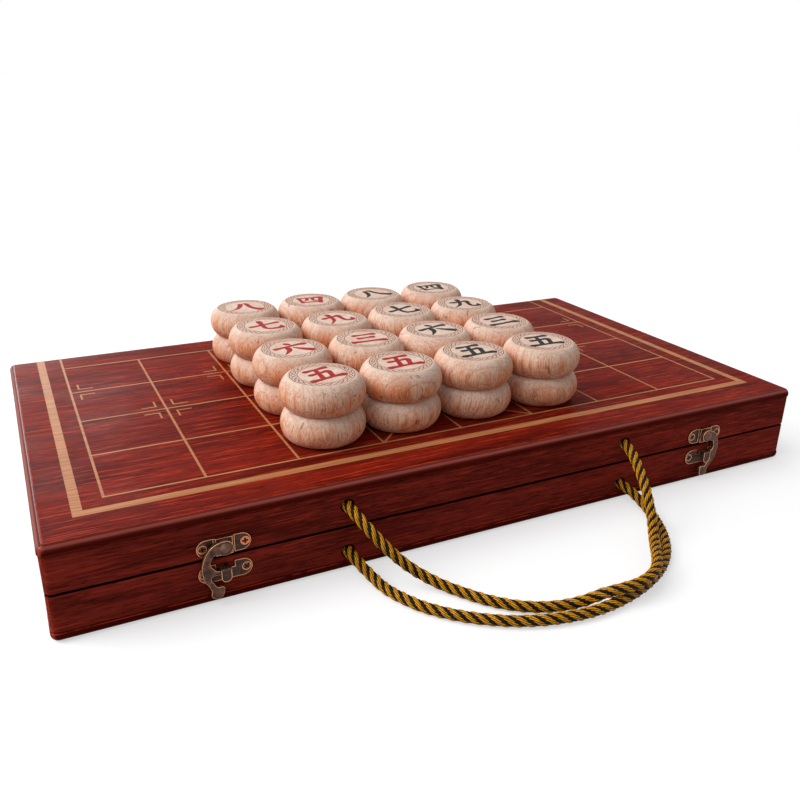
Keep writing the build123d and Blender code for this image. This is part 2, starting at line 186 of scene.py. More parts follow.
def new_material(name):
    material = bpy.data.materials.new(name)
    material.use_nodes = True
    tree = material.node_tree
    shader = tree.nodes["Principled BSDF"]
    place = add(tree, "ShaderNodeTexCoord").outputs["Object"]
    return material, tree, shader, place


def bump(tree, shader, height, distance, strength):
    node = add(tree, "ShaderNodeBump", {"Height": height, "Distance": distance * MM, "Strength": strength})
    tree.links.new(node.outputs[0], shader.inputs["Normal"])


def wear(tree, shader, values):
    """Each named socket takes a colour, a number or another node's output."""
    for name, value in values.items():
        if isinstance(value, bpy.types.NodeSocket):
            tree.links.new(value, shader.inputs[name])
        else:
            shader.inputs[name].default_value = value


def finish_node(name, material):
    """Give a node of the frame its finish."""
    node = NODES[name]
    node.data.materials.clear()
    node.data.materials.append(material)


def new_piece(name, mesh, materials, body, replaced=()):
    """A finished mesh becomes a piece that rides on a body."""
    piece = bpy.data.objects.new(name, mesh)
    bpy.context.scene.collection.objects.link(piece)
    for material in materials:
        mesh.materials.append(material)
    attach(piece, body)
    if replaced:
        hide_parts(*replaced)
    return piece


print("material and piece helpers ready")

# %% [markdown]
# ## The two cords
#
# Each handle is one soft twisted cord. It leaves a hole in the front rail, falls to the table under its
# own weight, lies there in a loose loop and goes back into the other hole. A NURBS curve through a few
# control points gives such a smooth route. The lid's cord is longer in the air and climbs over the base's
# cord where they cross.

# %% Cord routes
ROUTE_STEPS = 12  # points between two control points

lid_cord_points = [
    (-90.2, -121.0, 38.5), (-90.0, -130.5, 38.6), (-89.1, -140.8, 37.4), (-86.0, -148.6, 33.1),
    (-80.7, -154.9, 25.8), (-74.4, -159.9, 18.2), (-67.2, -164.6, 11.5), (-59.8, -170.0, 6.6),
    (-53.0, -177.0, 3.9), (-46.6, -185.6, 3.4), (-40.2, -194.6, 3.4), (-30.5, -204.5, 3.4),
    (-18.5, -212.0, 3.4), (-6.0, -216.2, 3.7), (4.5, -218.9, 5.4), (13.0, -221.4, 8.8),
    (23.0, -224.0, 10.1), (36.0, -223.7, 10.0), (48.0, -219.4, 10.1), (56.5, -211.8, 9.9),
    (64.0, -202.6, 8.6), (70.6, -194.2, 7.6), (77.0, -186.0, 8.9), (82.5, -178.0, 12.8),
    (86.8, -169.5, 19.0), (89.8, -161.0, 25.4), (92.3, -152.5, 30.7), (94.4, -144.6, 35.0),
    (95.7, -137.3, 37.8), (96.0, -129.5, 38.6), (96.3, -121.0, 38.5),
]
base_cord_points = [
    (-90.2, -121.0, 11.2), (-90.0, -130.5, 11.0), (-89.3, -139.2, 10.0), (-86.8, -147.0, 7.1),
    (-84.1, -155.0, 4.4), (-82.0, -164.5, 3.4), (-77.9, -175.0, 3.4), (-71.4, -187.0, 3.4),
    (-61.0, -198.5, 3.4), (-48.0, -209.0, 3.4), (-33.0, -217.5, 3.4), (-16.5, -223.0, 3.4),
    (1.0, -225.8, 3.4), (17.0, -225.3, 3.4), (33.0, -222.4, 3.4), (48.0, -217.4, 3.4),
    (61.0, -211.0, 3.4), (72.0, -202.8, 3.4), (80.7, -193.4, 3.4), (88.0, -183.0, 3.4),
    (93.7, -172.0, 3.4), (97.8, -161.5, 3.7), (99.2, -152.5, 5.3), (98.4, -144.7, 8.3),
    (96.6, -137.6, 10.3), (96.0, -129.5, 11.0), (96.2, -121.0, 11.1),
]


def cord_route(name, points):
    """The cord's own line, as a curve with no thickness."""
    curve = bpy.data.curves.new(name, "CURVE")
    curve.dimensions = "3D"
    curve.resolution_u = ROUTE_STEPS
    spline = curve.splines.new("NURBS")
    spline.points.add(len(points) - 1)
    for point, place in zip(spline.points, points):
        point.co = (*(Vector(place) * MM), 1.0)
    spline.order_u = 3
    spline.use_endpoint_u = True
    return bpy.data.objects.new(name, curve)


def line_of(route):
    """The points of the smooth line, from one end to the other."""
    bpy.context.scene.collection.objects.link(route)
    graph = bpy.context.evaluated_depsgraph_get()
    mesh = bpy.data.meshes.new_from_object(route.evaluated_get(graph))
    points = [v.co.copy() for v in mesh.vertices]
    bpy.data.meshes.remove(mesh)
    bpy.context.scene.collection.objects.unlink(route)
    return points


lid_line = line_of(cord_route("lid_cord_route", lid_cord_points))
base_line = line_of(cord_route("base_cord_route", base_cord_points))
print("cord lines:", len(lid_line), "and", len(base_line), "points")

# %% [markdown]
# ## Strands that follow a cord
#
# A rope is a few strands that wind round one another. Geometry Nodes can do this from the line alone:
# copy the line once for each strand, push each copy away from the middle in its own direction, let that
# direction turn as it goes along, and sweep a small profile over it. The gold strands are thick and made
# of fine yarns, which a lobed profile shows as real ridges. Thin black strands lie in the grooves between
# them.


# %% Strand tree
CORNERS_PER_YARN = 3.0


def strand_tree(name):
    tree, given, out = new_group(name, {
        "Geometry": "Geometry", "Strands": "Int", "Offset": "Float", "Thickness": "Float", "Lay": "Float",
        "Phase": "Float", "Yarns": "Int", "Yarn depth": "Float", "Yarn lay": "Float", "Step": "Float",
        "Material": "Material",
    }, {"Geometry": "Geometry"}, "GeometryNodeTree")
    # copies of the line, each pushed out in a direction that turns along the way
    to_curve = add(tree, "GeometryNodeMeshToCurve", {0: given["Geometry"]})
    even = add(tree, "GeometryNodeResampleCurve", {"Curve": to_curve.outputs[0], "Length": given["Step"]},
               mode="LENGTH")
    copies = add(tree, "GeometryNodeDuplicateElements", {"Geometry": even.outputs[0],
                                                         "Amount": given["Strands"]}, domain="SPLINE")
    along = add(tree, "GeometryNodeSplineParameter").outputs["Length"]
    turns = math(tree, "DIVIDE", along, given["Lay"])
    share = math(tree, "DIVIDE", copies.outputs["Duplicate Index"], given["Strands"])
    turned = math(tree, "ADD", math(tree, "ADD", turns, share), given["Phase"])
    angle = math(tree, "MULTIPLY", turned, 2 * pi)
    normal = add(tree, "GeometryNodeInputNormal").outputs[0]
    tangent = add(tree, "GeometryNodeInputTangent").outputs[0]
    spun = add(tree, "ShaderNodeVectorRotate", {"Vector": normal, "Axis": tangent, "Angle": angle})
    push = add(tree, "ShaderNodeVectorMath", {0: spun.outputs[0], 3: given["Offset"]}, operation="SCALE")
    held = add(tree, "GeometryNodeCaptureAttribute", {"Geometry": copies.outputs[0]}, domain="POINT")
    held.capture_items.new("FLOAT", "Along")
    held.capture_items.new("VECTOR", "Push")
    tree.links.new(along, held.inputs["Along"])
    tree.links.new(push.outputs[0], held.inputs["Push"])
    wound = add(tree, "GeometryNodeSetPosition", {"Geometry": held.outputs[0],
                                                  "Offset": held.outputs["Push"]})
    twist = math(tree, "MULTIPLY", math(tree, "DIVIDE", held.outputs["Along"], given["Yarn lay"]), 2 * pi)
    tilted = add(tree, "GeometryNodeSetCurveTilt", {"Curve": wound.outputs[0], "Tilt": twist})
    # the profile is a circle whose radius rises and falls once for each yarn
    corners = math(tree, "MULTIPLY", given["Yarns"], CORNERS_PER_YARN)
    circle = add(tree, "GeometryNodeCurvePrimitiveCircle", {"Resolution": corners,
                                                            "Radius": given["Thickness"]}, mode="RADIUS")
    place = add(tree, "GeometryNodeInputPosition").outputs[0]
    index = add(tree, "GeometryNodeInputIndex").outputs[0]
    corner = math(tree, "MODULO", index, CORNERS_PER_YARN)
    groove = math(tree, "COMPARE", corner, 0.0)
    depth = math(tree, "MULTIPLY", groove, given["Yarn depth"])
    smaller = math(tree, "SUBTRACT", 1.0, depth)
    lobed_place = add(tree, "ShaderNodeVectorMath", {0: place, 3: smaller}, operation="SCALE")
    lobed = add(tree, "GeometryNodeSetPosition", {"Geometry": circle.outputs[0],
                                                  "Position": lobed_place.outputs[0]})
    crowned = add(tree, "GeometryNodeStoreNamedAttribute", {"Geometry": lobed.outputs[0], "Name": "crown",
                                                            "Value": math(tree, "SUBTRACT", 1.0, groove)},
                  data_type="FLOAT", domain="POINT")
    # the profile is swept along every copy
    swept = add(tree, "GeometryNodeCurveToMesh", {"Curve": tilted.outputs[0],
                                                  "Profile Curve": crowned.outputs[0], "Fill Caps": True})
    smooth = add(tree, "GeometryNodeSetShadeSmooth", {"Geometry": swept.outputs[0]})
    real = add(tree, "GeometryNodeRealizeInstances", {0: smooth.outputs[0]})
    dressed = add(tree, "GeometryNodeSetMaterial", {"Geometry": real.outputs[0],
                                                    "Material": given["Material"]})
    tree.links.new(dressed.outputs[0], out["Geometry"])
    return tree


strands = strand_tree("strands along a line")
print("strand tree:", len(strands.nodes), "nodes")

# %% [markdown]
# ## From a tree to a plain mesh
#
# A geometry tree only works while its modifier is live. `grow` puts a mesh into an object, fills in the
# tree's inputs, takes the result as a plain mesh and throws the object away. A modifier knows its inputs
# by identifiers such as Socket_2, so their names are looked up first.


# %% Running a tree
def grow(tree, mesh, **values):
    """Run a geometry tree on a mesh and return the plain mesh that comes out."""
    holder = bpy.data.objects.new("holder", mesh)
    bpy.context.scene.collection.objects.link(holder)
    modifier = holder.modifiers.new("tree", "NODES")
    modifier.node_group = tree
    for socket in tree.interface.items_tree:
        label = socket.name.replace(" ", "_").lower()
        if socket.in_out == "INPUT" and label in values:
            modifier[socket.identifier] = values[label]
    graph = bpy.context.evaluated_depsgraph_get()
    grown = bpy.data.meshes.new_from_object(holder.evaluated_get(graph))
    bpy.data.objects.remove(holder)
    return grown


def line_mesh(points):
    mesh = bpy.data.meshes.new("line")
    mesh.from_pydata(points, [(i, i + 1) for i in range(len(points) - 1)], [])
    return mesh


print("inputs:", ", ".join(s.name for s in strands.interface.items_tree if s.in_out == "INPUT"))

# %% [markdown]
# ## Yarn finishes
#
# The gold is rayon, glossy along the fibre. Its grooves are coloured deep amber, a painted shade, and its
# crowns carry the yarn's own bright colour. A noise stretched along the object is no use on a twisted
# strand, so the ridges carry the pattern: the strand tree writes `crown`, which is 0 in the grooves between
# yarns. The noise only varies the colour from place to place. The black yarn is the same fibre, dyed, so
# both take their fibres from one group.


# %% Yarn materials
def fibre_group():
    group, given, out = new_group("yarn fibres", {
        "Place": "Vector", "Crown": "Float", "Groove": "Color", "Dark": "Color", "Light": "Color",
    }, {"Color": "Color", "Height": "Float"})
    tone = noise(group, given["Place"], (1.6, 1.6, 1.6), seed=3.0, detail=4.0)
    fibre = noise(group, given["Place"], (0.25, 0.25, 0.25), seed=7.0, detail=2.0)
    both = math(group, "ADD", math(group, "MULTIPLY", tone, 0.5), math(group, "MULTIPLY", fibre, 0.5))
    dyed = blend(group, steps(group, both, 0.3, 0.66), given["Dark"], given["Light"])
    # painted shade: the grooves between yarns take the darker Groove colour
    lobed = blend(group, steps(group, given["Crown"], 0.2, 0.8), given["Groove"], dyed)
    group.links.new(lobed, out["Color"])
    group.links.new(fibre, out["Height"])
    return group


def yarn(name, groove, dark, light, roughness, sheen_colour):
    material, tree, shader, place = new_material(name)
    crown = add(tree, "ShaderNodeAttribute", attribute_name="crown").outputs["Fac"]
    fibre = add(tree, "ShaderNodeGroup", node_tree=fibres)
    wear(tree, fibre, {"Place": place, "Crown": crown, "Groove": groove, "Dark": dark, "Light": light})
    wear(tree, shader, {"Base Color": fibre.outputs["Color"], "Roughness": roughness,
                        "Sheen Weight": 0.03, "Sheen Tint": sheen_colour, "Specular IOR Level": 0.12})
    bump(tree, shader, fibre.outputs["Height"], 0.05, 0.6)
    return material


fibres = fibre_group()
# the first colour of each yarn is the painted shade in its grooves
gold_yarn = yarn("gold_yarn", srgb(56, 26, 2), srgb(164, 98, 8), srgb(246, 176, 32), 0.42,
                 srgb(255, 200, 90))
black_yarn = yarn("black_yarn", srgb(3, 2, 2), srgb(6, 4, 3), srgb(24, 16, 10), 0.6, srgb(60, 50, 40))
print("yarns:", gold_yarn.name, black_yarn.name)

# %% [markdown]
# ## Winding the cords
#
# One turn of the twist takes 19 mm. Three gold strands wind round the middle, and three black ones lie
# deeper, in the grooves between them, a sixth of a turn later. Joined into one mesh, they ride on their
# half of the box.

# %% Wind the cords
CORD_LAY = 19.2
STRANDS = 3
YARNS = 6
gold_strands = {
    "offset": 1.96 * MM, "thickness": 1.16 * MM, "phase": 0.0, "yarn_depth": 0.36, "yarn_lay": -26 * MM,
    "step": 1.0 * MM, "material": gold_yarn,
}
black_strands = {
    "offset": 1.68 * MM, "thickness": 1.12 * MM, "phase": 0.5 / STRANDS, "yarn_depth": 0.2,
    "yarn_lay": -12 * MM, "step": 1.2 * MM, "material": black_yarn,
}


def join(meshes, name):
    """Several meshes as one, with their materials kept."""
    whole = bmesh.new()
    materials = []
    for mesh in meshes:
        for material in mesh.materials:
            if material not in materials:
                materials.append(material)
        first = len(whole.faces)
        whole.from_mesh(mesh)
        whole.faces.ensure_lookup_table()
        for face in whole.faces[first:]:
            face.material_index = materials.index(mesh.materials[face.material_index])
    joined = bpy.data.meshes.new(name)
    whole.to_mesh(joined)
    whole.free()
    return joined, materials


def wind_cord(name, line, body):
    wound = [grow(strands, line_mesh(line), strands=STRANDS, yarns=YARNS, lay=CORD_LAY * MM, **kind)
             for kind in (gold_strands, black_strands)]
    mesh, materials = join(wound, name)
    piece = new_piece(name, mesh, materials, body, [name.replace("_strands", "")])
    print(name, len(mesh.polygons), "faces")
    return piece


lid_cord = wind_cord("lid_cord_strands", lid_line, "upper_half")
base_cord = wind_cord("base_cord_strands", base_line, "lower_half")

# %% [markdown]
# ## Knots behind the rail
#
# Inside the tray each cord end is tied in a stopper knot, so that it can't slip out of its hole. A
# trefoil is the closed line of the simplest knot, and a thick tube swept along it looks like one pulled
# tight.

# %% Stopper knots
KNOT_STEPS = 96
KNOT_REACH = 5.6      # from a knot's middle to its outside
KNOT_TUBE = 2.0       # of which the cord takes this much
KNOT_DEPTH = 1.4      # of the line, along the cord's hole
KNOT_CLEARANCE = 1.6  # from the cord's end to the knot's middle
knot_strands = {
    "offset": 0.95 * MM, "thickness": 0.95 * MM, "phase": 0.0, "yarn_depth": 0.2, "yarn_lay": -12 * MM,
    "step": 0.7 * MM, "material": gold_yarn,
}
KNOT_LAY = 9.0


def knot_line(centre):
    points = []
    for i in range(KNOT_STEPS + 1):
        t = 2 * pi * i / KNOT_STEPS
        across = Vector((sin(t) + 2 * sin(2 * t), -KNOT_DEPTH * sin(3 * t), cos(t) - 2 * cos(2 * t)))
        points.append(Vector(centre) + across * (KNOT_REACH - KNOT_TUBE) / 3 * MM)
    return points


def tie_knots(name, line, body):
    """Both knots of a cord as one piece."""
    parts = []
    for end in (line[0], line[-1]):
        centre = end + Vector((0, KNOT_CLEARANCE, 0)) * MM
        parts.append(grow(strands, line_mesh(knot_line(centre)), strands=STRANDS, yarns=YARNS,
                          lay=KNOT_LAY * MM, **knot_strands))
    mesh, materials = join(parts, name)
    knots = new_piece(name, mesh, materials, body)
    print(name, len(mesh.polygons), "faces")


tie_knots("lid_cord_knots", lid_line, "upper_half")
tie_knots("base_cord_knots", base_line, "lower_half")

# %% [markdown]
# ## Lacquered rosewood grain
#
# The boards are veneered in a red, straight-grained wood under a clear gloss. Its look has four layers:
# broad bands of lighter and darker red, fine dark streaks, a few bright ones, and short dark pores. Each
# is a noise stretched along the grain, so one group serves every board, and each board turns the pattern
# its own way with a Mapping node. The group puts out the colour and a height for the pores.


# %% Grain group
PORE_BLACK = srgb(34, 6, 6)


def grain_group():
    group, given, out = new_group("straight red grain", {
        "Place": "Vector", "Dark": "Color", "Base": "Color", "Bright": "Color", "Streaks": "Float",
    }, {"Color": "Color", "Height": "Float"})
    place = given["Place"]
    bands = noise(group, place, (150, 11, 11), seed=1.3, detail=3.0, distortion=0.4)
    streaks = noise(group, place, (20, 1.0, 1.0), seed=4.7, detail=5.0, roughness=0.7, distortion=0.3)
    flames = noise(group, place, (30, 1.5, 1.5), seed=9.1, detail=4.0, roughness=0.65)
    pores = noise(group, place, (7, 0.45, 0.45), seed=2.2, detail=2.0, roughness=0.5)
    low = steps(group, bands, 0.3, 0.66)
    tone = blend(group, math(group, "MULTIPLY", low, 0.75), given["Dark"], given["Base"])
    streak = math(group, "MULTIPLY", steps(group, streaks, 0.47, 0.66), given["Streaks"])
    streaked = blend(group, streak, tone, given["Dark"])
    clearer = steps(group, streaks, 0.5, 0.3)
    based = blend(group, math(group, "MULTIPLY", clearer, 0.7), streaked, given["Base"])
    flame = math(group, "MULTIPLY", steps(group, flames, 0.53, 0.68), 0.85)
    lit = blend(group, flame, based, given["Bright"])
    pore = steps(group, pores, 0.56, 0.67)
    dotted = blend(group, math(group, "MULTIPLY", pore, 0.6), lit, PORE_BLACK)
    group.links.new(dotted, out["Color"])
    group.links.new(math(group, "SUBTRACT", 1.0, pore), out["Height"])
    return group


grain = grain_group()
print("grain group:", len(grain.nodes), "nodes")

# %% [markdown]
# ## Where the lacquer wears, and painted highlights
#
# Lacquer wears off first along creases and mitres, in thin broken lines; along the panels' crease and lower
# edge the line is partly a painted highlight. A material can find those places from Object coordinates
# alone: how far a point lies inside the case's edges, and how far it is from the seam. The sizes of the
# case are measured on the solid model, so that the lines stay where they belong. The broken line is a
# group, because every board has some.


# %% Places on the case
lid_low, lid_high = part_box("lid_panel")
CASE_LENGTH = round((lid_high.x - lid_low.x) / MM, 3)
CASE_DEPTH = round((lid_high.y - lid_low.y) / MM, 3)
CASE_HEIGHT = round(lid_high.z / MM, 3)
PANEL_EDGE = 3.5  # radius of a panel's rounded edge
PANEL_THICKNESS = 5.0
SEAM_HEIGHT = CASE_HEIGHT / 2


def wear_and_highlight_line_group():
    group, given, out = new_group("worn line", {
        "Distance": "Float", "Half width": "Float", "Place": "Vector", "Seed": "Float",
    }, {"Mask": "Float"})
    near = steps(group, math(group, "ABSOLUTE", given["Distance"]), given["Half width"], 0.0)
    gaps = noise(group, given["Place"], (9, 9, 9), seed=given["Seed"], detail=3.0)
    broken = math(group, "MULTIPLY", near, steps(group, gaps, 0.36, 0.56))
    group.links.new(broken, out["Mask"])
    return group


def wear_and_highlight_line(tree, distance, half_width, place, seed):
    """A thin broken line at distance zero: worn lacquer, and along the panels' crease and lower edge partly
    a painted highlight.
    """
    line = add(tree, "ShaderNodeGroup", node_tree=wear_and_highlight_lines)
    wear(tree, line, {"Distance": distance, "Half width": half_width * MM, "Place": place, "Seed": seed})
    return line.outputs["Mask"]


def edge_distances(tree, place):
    """How far a point lies outside the case's edges, along X and Y. Both are negative on the case."""
    parts = add(tree, "ShaderNodeSeparateXYZ", {0: place}).outputs
    x = math(tree, "SUBTRACT", math(tree, "ABSOLUTE", parts[0]), CASE_LENGTH / 2 * MM)
    y = math(tree, "SUBTRACT", math(tree, "ABSOLUTE", parts[1]), CASE_DEPTH / 2 * MM)
    return x, y


wear_and_highlight_lines = wear_and_highlight_line_group()
print("case", CASE_LENGTH, "x", CASE_DEPTH, "x", CASE_HEIGHT, "mm")

# %% [markdown]
# ## Painted shade on the rails, painted light on rounded edges
#
# On the rails, painted shade darkens the wood along the seam and under the overhang of the panels. Both
# kinds of rail have it, so it is a group, and so are the smudges that hands leave on every board.
#
# A panel's rounded edge is darker than its face, a painted shade. Along its top runs a pale painted
# highlight. Both are part of the colour, so they also show on a model without lamps.


# %% Rail and panel details
# painted shade: the colour that darkens the rails along the seam and under the panels' overhang
SEAM_PAINTED_SHADE = srgb(22, 4, 3)
# the painted highlight along the rounded edge, and how far inside the panel's edge it runs
CREST_PAINTED_HIGHLIGHT = srgb(160, 72, 56)
CREST = 1.15  # how far inside the panel's edge the pale line runs
COAT_HEIGHTS = (49.0, 51.0)
COAT = 0.3


def seam_shade_group():
    group, given, out = new_group("painted seam shade", {"Wood": "Color", "Off seam": "Float"},
                                  {"Color": "Color"})
    off_seam = given["Off seam"]
    # painted shade, strongest at the seam between the halves and just under the panels
    joint = math(group, "SUBTRACT", (CASE_HEIGHT / 2 - PANEL_THICKNESS) * MM, off_seam)
    along_seam = steps(group, off_seam, 1.0 * MM, 0.55 * MM)
    under_panel = math(group, "MULTIPLY", steps(group, joint, 1.0 * MM, 0.2 * MM), 0.75)
    painted_shade = math(group, "MAXIMUM", along_seam, under_panel)
    group.links.new(blend(group, painted_shade, given["Wood"], SEAM_PAINTED_SHADE), out["Color"])
    return group


def smudge_group():
    group, given, out = new_group("hand smudges", {"Place": "Vector"}, {"Roughness": "Float"})
    smudges = noise(group, given["Place"], (40, 40, 40), seed=6.0, detail=3.0)
    group.links.new(steps(group, smudges, 0.3, 0.7, 0.26, 0.38), out["Roughness"])
    return group


def panel_wear_and_highlights(tree, place, nearest, off_seam, corner):
    """The crease where the flat face ends, the corners of the edge, and the panel's lower edge. The corners
    are worn lacquer; the crease and the lower edge are partly wear, partly painted highlight.
    """
    crease = wear_and_highlight_line(tree, math(tree, "ADD", nearest, (PANEL_EDGE - 0.1) * MM), 0.35, place, 8.0)
    at_edge = steps(tree, nearest, -(PANEL_EDGE + 0.4) * MM, -PANEL_EDGE * MM)
    worn = math(tree, "MAXIMUM", crease, math(tree, "MULTIPLY", corner, at_edge))
    lower_edge = (CASE_HEIGHT / 2 - PANEL_THICKNESS + 0.15) * MM
    under = wear_and_highlight_line(tree, math(tree, "SUBTRACT", off_seam, lower_edge), 0.45, place, 3.0)
    return math(tree, "MAXIMUM", worn, math(tree, "MULTIPLY", under, 0.8))


def rounded_edge_painted_light(tree, wood_colour, dark, nearest):
    # painted shade darkens the rounded edge, and a painted highlight runs along it
    rounded = steps(tree, nearest, -(PANEL_EDGE + 0.1) * MM, -(PANEL_EDGE - 0.3) * MM)
    off_crest = math(tree, "ABSOLUTE", math(tree, "ADD", nearest, CREST * MM))
    painted_highlight_mask = steps(tree, off_crest, 0.85 * MM, 0.3 * MM)
    painted_edge_shade = blend(tree, math(tree, "MULTIPLY", rounded, 0.85), wood_colour, dark)
    return blend(tree, math(tree, "MULTIPLY", painted_highlight_mask, 0.65), painted_edge_shade, CREST_PAINTED_HIGHLIGHT)


def edge_coat(tree, nearest, height):
    """A clear coat on the lid's rounded edge alone."""
    round_edge = steps(tree, nearest, -(PANEL_EDGE - 0.2) * MM, -(PANEL_EDGE - 0.9) * MM)
    low, high = COAT_HEIGHTS
    return math(tree, "MULTIPLY", round_edge, steps(tree, height, low * MM, high * MM, 0.0, COAT))


painted_seam_shade = seam_shade_group()
hand_smudges = smudge_group()
print("pale line", CREST, "mm inside the edge")

# %% [markdown]
# ## One recipe for every board
#
# Panels and rails share one recipe: grain, then painted shade along the seam on the rails, and painted
# shade with a painted highlight on the panels' rounded edge, then worn lines, partly painted highlights,
# under a gloss that is smudged by hands. `turn` and `shift` move the grain, so that no two kinds of board
# show the same piece of wood.


# %% Lacquered wood
WORN_AND_HIGHLIGHT_WOOD = srgb(196, 62, 30)


def lacquered_wood(name, dark, base, bright, streaks, turn=0.0, shift=0.0, rails=False):
    material, tree, shader, place = new_material(name)
    moved = add(tree, "ShaderNodeMapping", {"Vector": place, "Rotation": (0, 0, turn),
                                            "Location": (shift, shift * 0.7, shift * 0.4)})
    wood = add(tree, "ShaderNodeGroup", node_tree=grain)
    wear(tree, wood, {"Place": moved.outputs[0], "Dark": dark, "Base": base, "Bright": bright,
                      "Streaks": streaks})
    x, y = edge_distances(tree, place)
    height = add(tree, "ShaderNodeSeparateXYZ", {0: place}).outputs[2]
    off_seam = math(tree, "ABSOLUTE", math(tree, "SUBTRACT", height, SEAM_HEIGHT * MM))
    mitre = wear_and_highlight_line(tree, math(tree, "SUBTRACT", x, y), 0.4, place, 5.0)
    if rails:
        # painted shade along the seam and under the panels' overhang
        seam_shade_node = add(tree, "ShaderNodeGroup", node_tree=painted_seam_shade)
        wear(tree, seam_shade_node, {"Wood": wood.outputs["Color"], "Off seam": off_seam})
        wood_colour = seam_shade_node.outputs["Color"]
        worn = mitre
        coat = 0.0
    else:
        nearest = math(tree, "MAXIMUM", x, y)
        wood_colour = rounded_edge_painted_light(tree, wood.outputs["Color"], dark, nearest)
        worn = panel_wear_and_highlights(tree, place, nearest, off_seam, mitre)
        coat = edge_coat(tree, nearest, height)
    # worn lacquer, and along the panels' crease and lower edge partly a painted highlight
    colour = blend(tree, math(tree, "MULTIPLY", worn, 0.75), wood_colour, WORN_AND_HIGHLIGHT_WOOD)
    smudges = add(tree, "ShaderNodeGroup", {"Place": place}, node_tree=hand_smudges)
    wear(tree, shader, {"Base Color": colour, "Roughness": smudges.outputs["Roughness"],
                        "Specular IOR Level": 0.006, "Coat Weight": coat, "Coat Roughness": 0.16})
    bump(tree, shader, wood.outputs["Height"], 0.03, 0.35)
    return material


board_wood = lacquered_wood("board_wood", srgb(78, 16, 11), srgb(136, 35, 21), srgb(186, 56, 22), 0.85)
rail_wood = lacquered_wood("rail_wood", srgb(93, 28, 22), srgb(160, 53, 42), srgb(175, 60, 38), 0.9,
                           shift=0.31, rails=True)
side_rail_wood = lacquered_wood("side_rail_wood", srgb(92, 26, 20), srgb(168, 56, 44), srgb(186, 64, 40),
                                0.85, turn=pi / 2, shift=0.57, rails=True)
print("woods:", board_wood.name, rail_wood.name, side_rail_wood.name)

# %% [markdown]
# ## The boards and rails
#
# The panels show the grain at its brightest. The rails are a darker maroon, and the short ones carry
# their grain the other way, as the four are cut from one strip and mitred. They are the solid model's own
# shapes, so each only takes a finish.

# %% Wood finishes
for half in ("lid", "base"):
    finish_node(f"{half}_panel", board_wood)
    for side in ("front", "back"):
        finish_node(f"{half}_{side}_rail", rail_wood)
    for side in ("left", "right"):
        finish_node(f"{half}_{side}_rail", side_rail_wood)
print("finished two panels and eight rails")

# %% [markdown]
# ## Drawing flat shapes that overlap
#
# Board lines, rings and brush strokes are flat ink shapes that cross one another. If they were laid on
# top of each other they would flicker. Instead a constrained Delaunay triangulation cuts the whole plane
# along every outline, and tells for each triangle which shapes it lies in. Keeping the triangles that lie
# in any shape gives one clean sheet, with no overlaps.


# %% Flat ink shapes
SAME_POINT = 1e-5  # points nearer than this are one
CIRCLE_COUNT = 72


def cut_plane(shapes):
    """Triangulate the plane along the outlines of all shapes.

    Returns points, triangles and, for each triangle, the numbers of the shapes that it lies in."""
    points, faces = [], []
    for shape in shapes:
        first = len(points)
        points += [Vector(p[:2]) for p in shape]
        faces.append(list(range(first, len(points))))
    out = delaunay_2d_cdt(points, [], faces, 0, SAME_POINT)
    return out[0], out[2], [set(ids) for ids in out[5]]


def bar(a, b, width):
    """The four corners of a straight line of ink from a to b."""
    a, b = Vector(a), Vector(b)
    side = (b - a).normalized().orthogonal() * width / 2
    return [a + side, a - side, b - side, b + side]


def circle(radius, count=CIRCLE_COUNT, centre=(0, 0)):
    return [(centre[0] + radius * cos(2 * pi * i / count), centre[1] + radius * sin(2 * pi * i / count))
            for i in range(count)]


print("a circle has", len(circle(1.0)), "corners")

# %% [markdown]
# ## Half of a xiangqi board
#
# The board has nine files and ten ranks, played on the points where they cross. One half has five ranks,
# the palace with its crossed diagonals, and small corner marks at the cannons' and soldiers' places. The
# strip that is left open at the fold is half of the river. A broad border runs round it. The same print
# is on both trays, and the two halves meet at the fold.

# %% Lines of the print
CELL = 51.5
FILES = 9
RANKS = 5
FIRST_FILE = -4 * CELL
FIRST_RANK = -97.5
LINE = 1.4
BORDER_SIDE = (10.9, 16.0)   # from the outermost line to the border's two edges, at the ends
BORDER_FRONT = (9.7, 15.2)   # and at the front
TICK_OFFSET = 5.5
TICK_ARM = 9.0
TICK_WIDTH = 1.1
CANNON_PLACES = [(1, 2), (7, 2)]
SOLDIER_PLACES = [(file, 3) for file in range(0, FILES, 2)]


def crossing(file, rank):
    return FIRST_FILE + file * CELL, FIRST_RANK + rank * CELL


def corner_mark(file, rank):
    """Four small angles around a crossing, or two where it is on the outermost file."""
    x, y = crossing(file, rank)
    bars = []
    for side in (-1, 1):
        if not 0 <= file + side < FILES:
            continue
        for up in (-1, 1):
            cx, cy = x + side * TICK_OFFSET, y + up * TICK_OFFSET
            half = TICK_WIDTH / 2
            bars.append(bar((cx - side * half, cy), (cx + side * TICK_ARM, cy), TICK_WIDTH))
            bars.append(bar((cx, cy - up * half), (cx, cy + up * TICK_ARM), TICK_WIDTH))
    return bars


